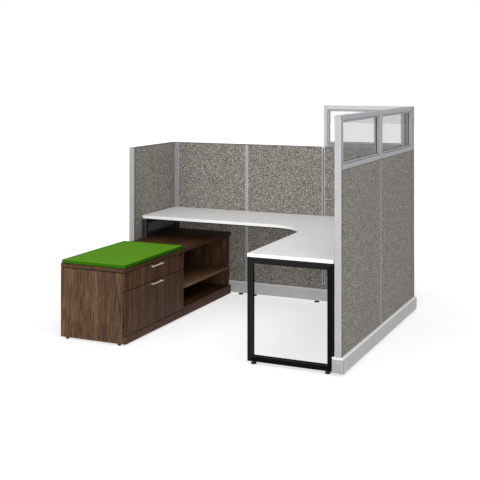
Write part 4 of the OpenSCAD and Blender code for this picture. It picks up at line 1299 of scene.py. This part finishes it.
def welt(name, z):
    """Piping along the pad's outline, with its middle at one height: a plane's outline as a curve."""
    only()
    bpy.ops.mesh.primitive_plane_add(size=1, location=(*piece_middle(pad_low, pad_high).xy, z))
    cord = bpy.context.object
    cord.name = name
    cord.scale = (pad_high.x - pad_low.x - piping, pad_high.y - pad_low.y - piping, 1)
    bpy.ops.object.transform_apply(location=True, rotation=True, scale=True)
    edit(cord, "VERT")
    bpy.ops.mesh.select_all(action="SELECT")
    bpy.ops.mesh.bevel(offset=pad_corner, segments=corner_rounds, affect="VERTICES")
    bpy.ops.mesh.delete(type="ONLY_FACE")
    bpy.ops.object.mode_set(mode="OBJECT")
    bpy.ops.object.convert(target="CURVE")
    cord.data.bevel_depth = piping / 2
    cord.data.bevel_resolution = 3
    bpy.ops.object.convert(target="MESH")
    bpy.ops.object.shade_smooth()
    return place(bpy.context.object, "root", "green_cover", piping_cover)


welt("seat_top_piping", pad_high.z - piping / 2)
welt("seat_base_piping", pad_low.z + piping / 2)
print("Seat pad thickness:", round((pad_high.z - pad_low.z) / mm, 1), "mm")

# %% [markdown]
# ## Floor, light and camera
# The piece is seen in a white studio: a white floor that runs out of sight and grows brighter far
# away, as a sweep does, an even white surround, two broad soft lights from the front that leave a
# pale contact shadow, a weaker one from above and a low one that fills the space under the tops.
# The eye sees the floor and the surround at full white, straight or through glass, while they light
# the piece with less. The camera stands where the photograph's did. It looks level, so uprights stay
# upright, and its lens is shifted down instead of the camera tilting, as an architectural
# photographer would.

# %% Floor
surround_light = 0.58
floor_glow = 0.64
floor_bounce = 0.28
sweep_start = 1.8
sweep_end = 5.0
floor_cloud = 1.67
floor_size = 60


def seen_rays(tree):
    """One for rays that reach the eye straight or through glass, and zero for all others."""
    path = add_node(tree, "ShaderNodeLightPath").outputs
    return add_node(tree, "ShaderNodeMath", links={0: path["Is Camera Ray"],
                                                   1: path["Is Transmission Ray"]},
                    operation="MAXIMUM").outputs[0]


def make_floor_paint():
    material, tree, places, shader = new_material("white studio floor", Roughness=0.9,
                                                  Emission_Color=colour("#ffffff"))
    cloud = add_node(tree, "ShaderNodeTexNoise", {"Scale": 1 / floor_cloud}, {"Vector": places})
    add_node(tree, "ShaderNodeValToRGB", links={"Fac": cloud.outputs["Fac"]},
             stops=[(0.3, "#b6b6b6"), (0.7, "#bababa")], feeds=shader["Base Color"])
    away = add_node(tree, "ShaderNodeVectorMath", links={0: places}, operation="LENGTH")
    sweep = add_node(tree, "ShaderNodeMapRange",
                     {"From Min": sweep_start, "From Max": sweep_end, "To Min": floor_glow},
                     {"Value": away.outputs["Value"]}).outputs["Result"]
    add_node(tree, "ShaderNodeMix", {"A": floor_bounce}, {"Factor": seen_rays(tree), "B": sweep},
             feeds=shader["Emission Strength"])
    return material


only()
bpy.ops.mesh.primitive_plane_add(size=floor_size, location=(0, 0, 0))
floor = bpy.context.object
floor.name = "studio_floor"
floor.data.materials.append(make_floor_paint())
print("The floor turns fully white", sweep_end, "m away")

# %% Surround and studio lights
scene = bpy.context.scene
scene.view_settings.view_transform = "Standard"
scene.world = bpy.data.worlds.new("white studio")
scene.world.use_nodes = True
surround = scene.world.node_tree
background = surround.nodes["Background"]
background.inputs["Color"].default_value = colour("#ffffff")
add_node(surround, "ShaderNodeMapRange", {"To Min": surround_light}, {"Value": seen_rays(surround)},
         feeds=background.inputs["Strength"])

middle = piece_middle(*cad_box)
lights = {"left front light": ((-2.5, -11.5, 3.2), middle, (6.0, 4.5), 135),
          "right front light": ((4.0, -11.5, 3.2), middle, (6.0, 4.5), 250),
          "top light": ((1.3, -2.0, 4.6), (0.7, -0.9, 0), (3.0, 3.0), 66),
          "low fill light": ((0.2, -5.0, 0.9), (0, 0, 0.4), (4.0, 1.0), 54)}


def soft_light(name, stand, aim, size, power):
    """A rectangular lamp: where it stands and aims in metres, its width and height, its watts."""
    data = bpy.data.lights.new(name, "AREA")
    data.shape = "RECTANGLE"
    data.size, data.size_y = size
    data.energy = power
    light = bpy.data.objects.new(name, data)
    light.location = stand
    light.rotation_euler = (Vector(aim) - Vector(stand)).to_track_quat("-Z", "Y").to_euler()
    scene.collection.objects.link(light)


for name, values in lights.items():
    soft_light(name, *values)
print("Lights:", len(lights))

# %% Camera
sensor_width = 36
focal_length = 72.49
lens_shift = -0.3455
camera_stand = (3.07469, -6.87133, 1.94396)
looking_level = math.radians(90)
camera_turn = math.radians(24.26)

camera_data = bpy.data.cameras.new("photograph camera")
camera_data.sensor_width = sensor_width
camera_data.lens = focal_length
camera_data.shift_y = lens_shift
camera = bpy.data.objects.new("photograph camera", camera_data)
camera.location = camera_stand
camera.rotation_euler = (looking_level, 0, camera_turn)
scene.collection.objects.link(camera)
scene.camera = camera
print("Camera height:", round(camera.location.z, 2), "m")
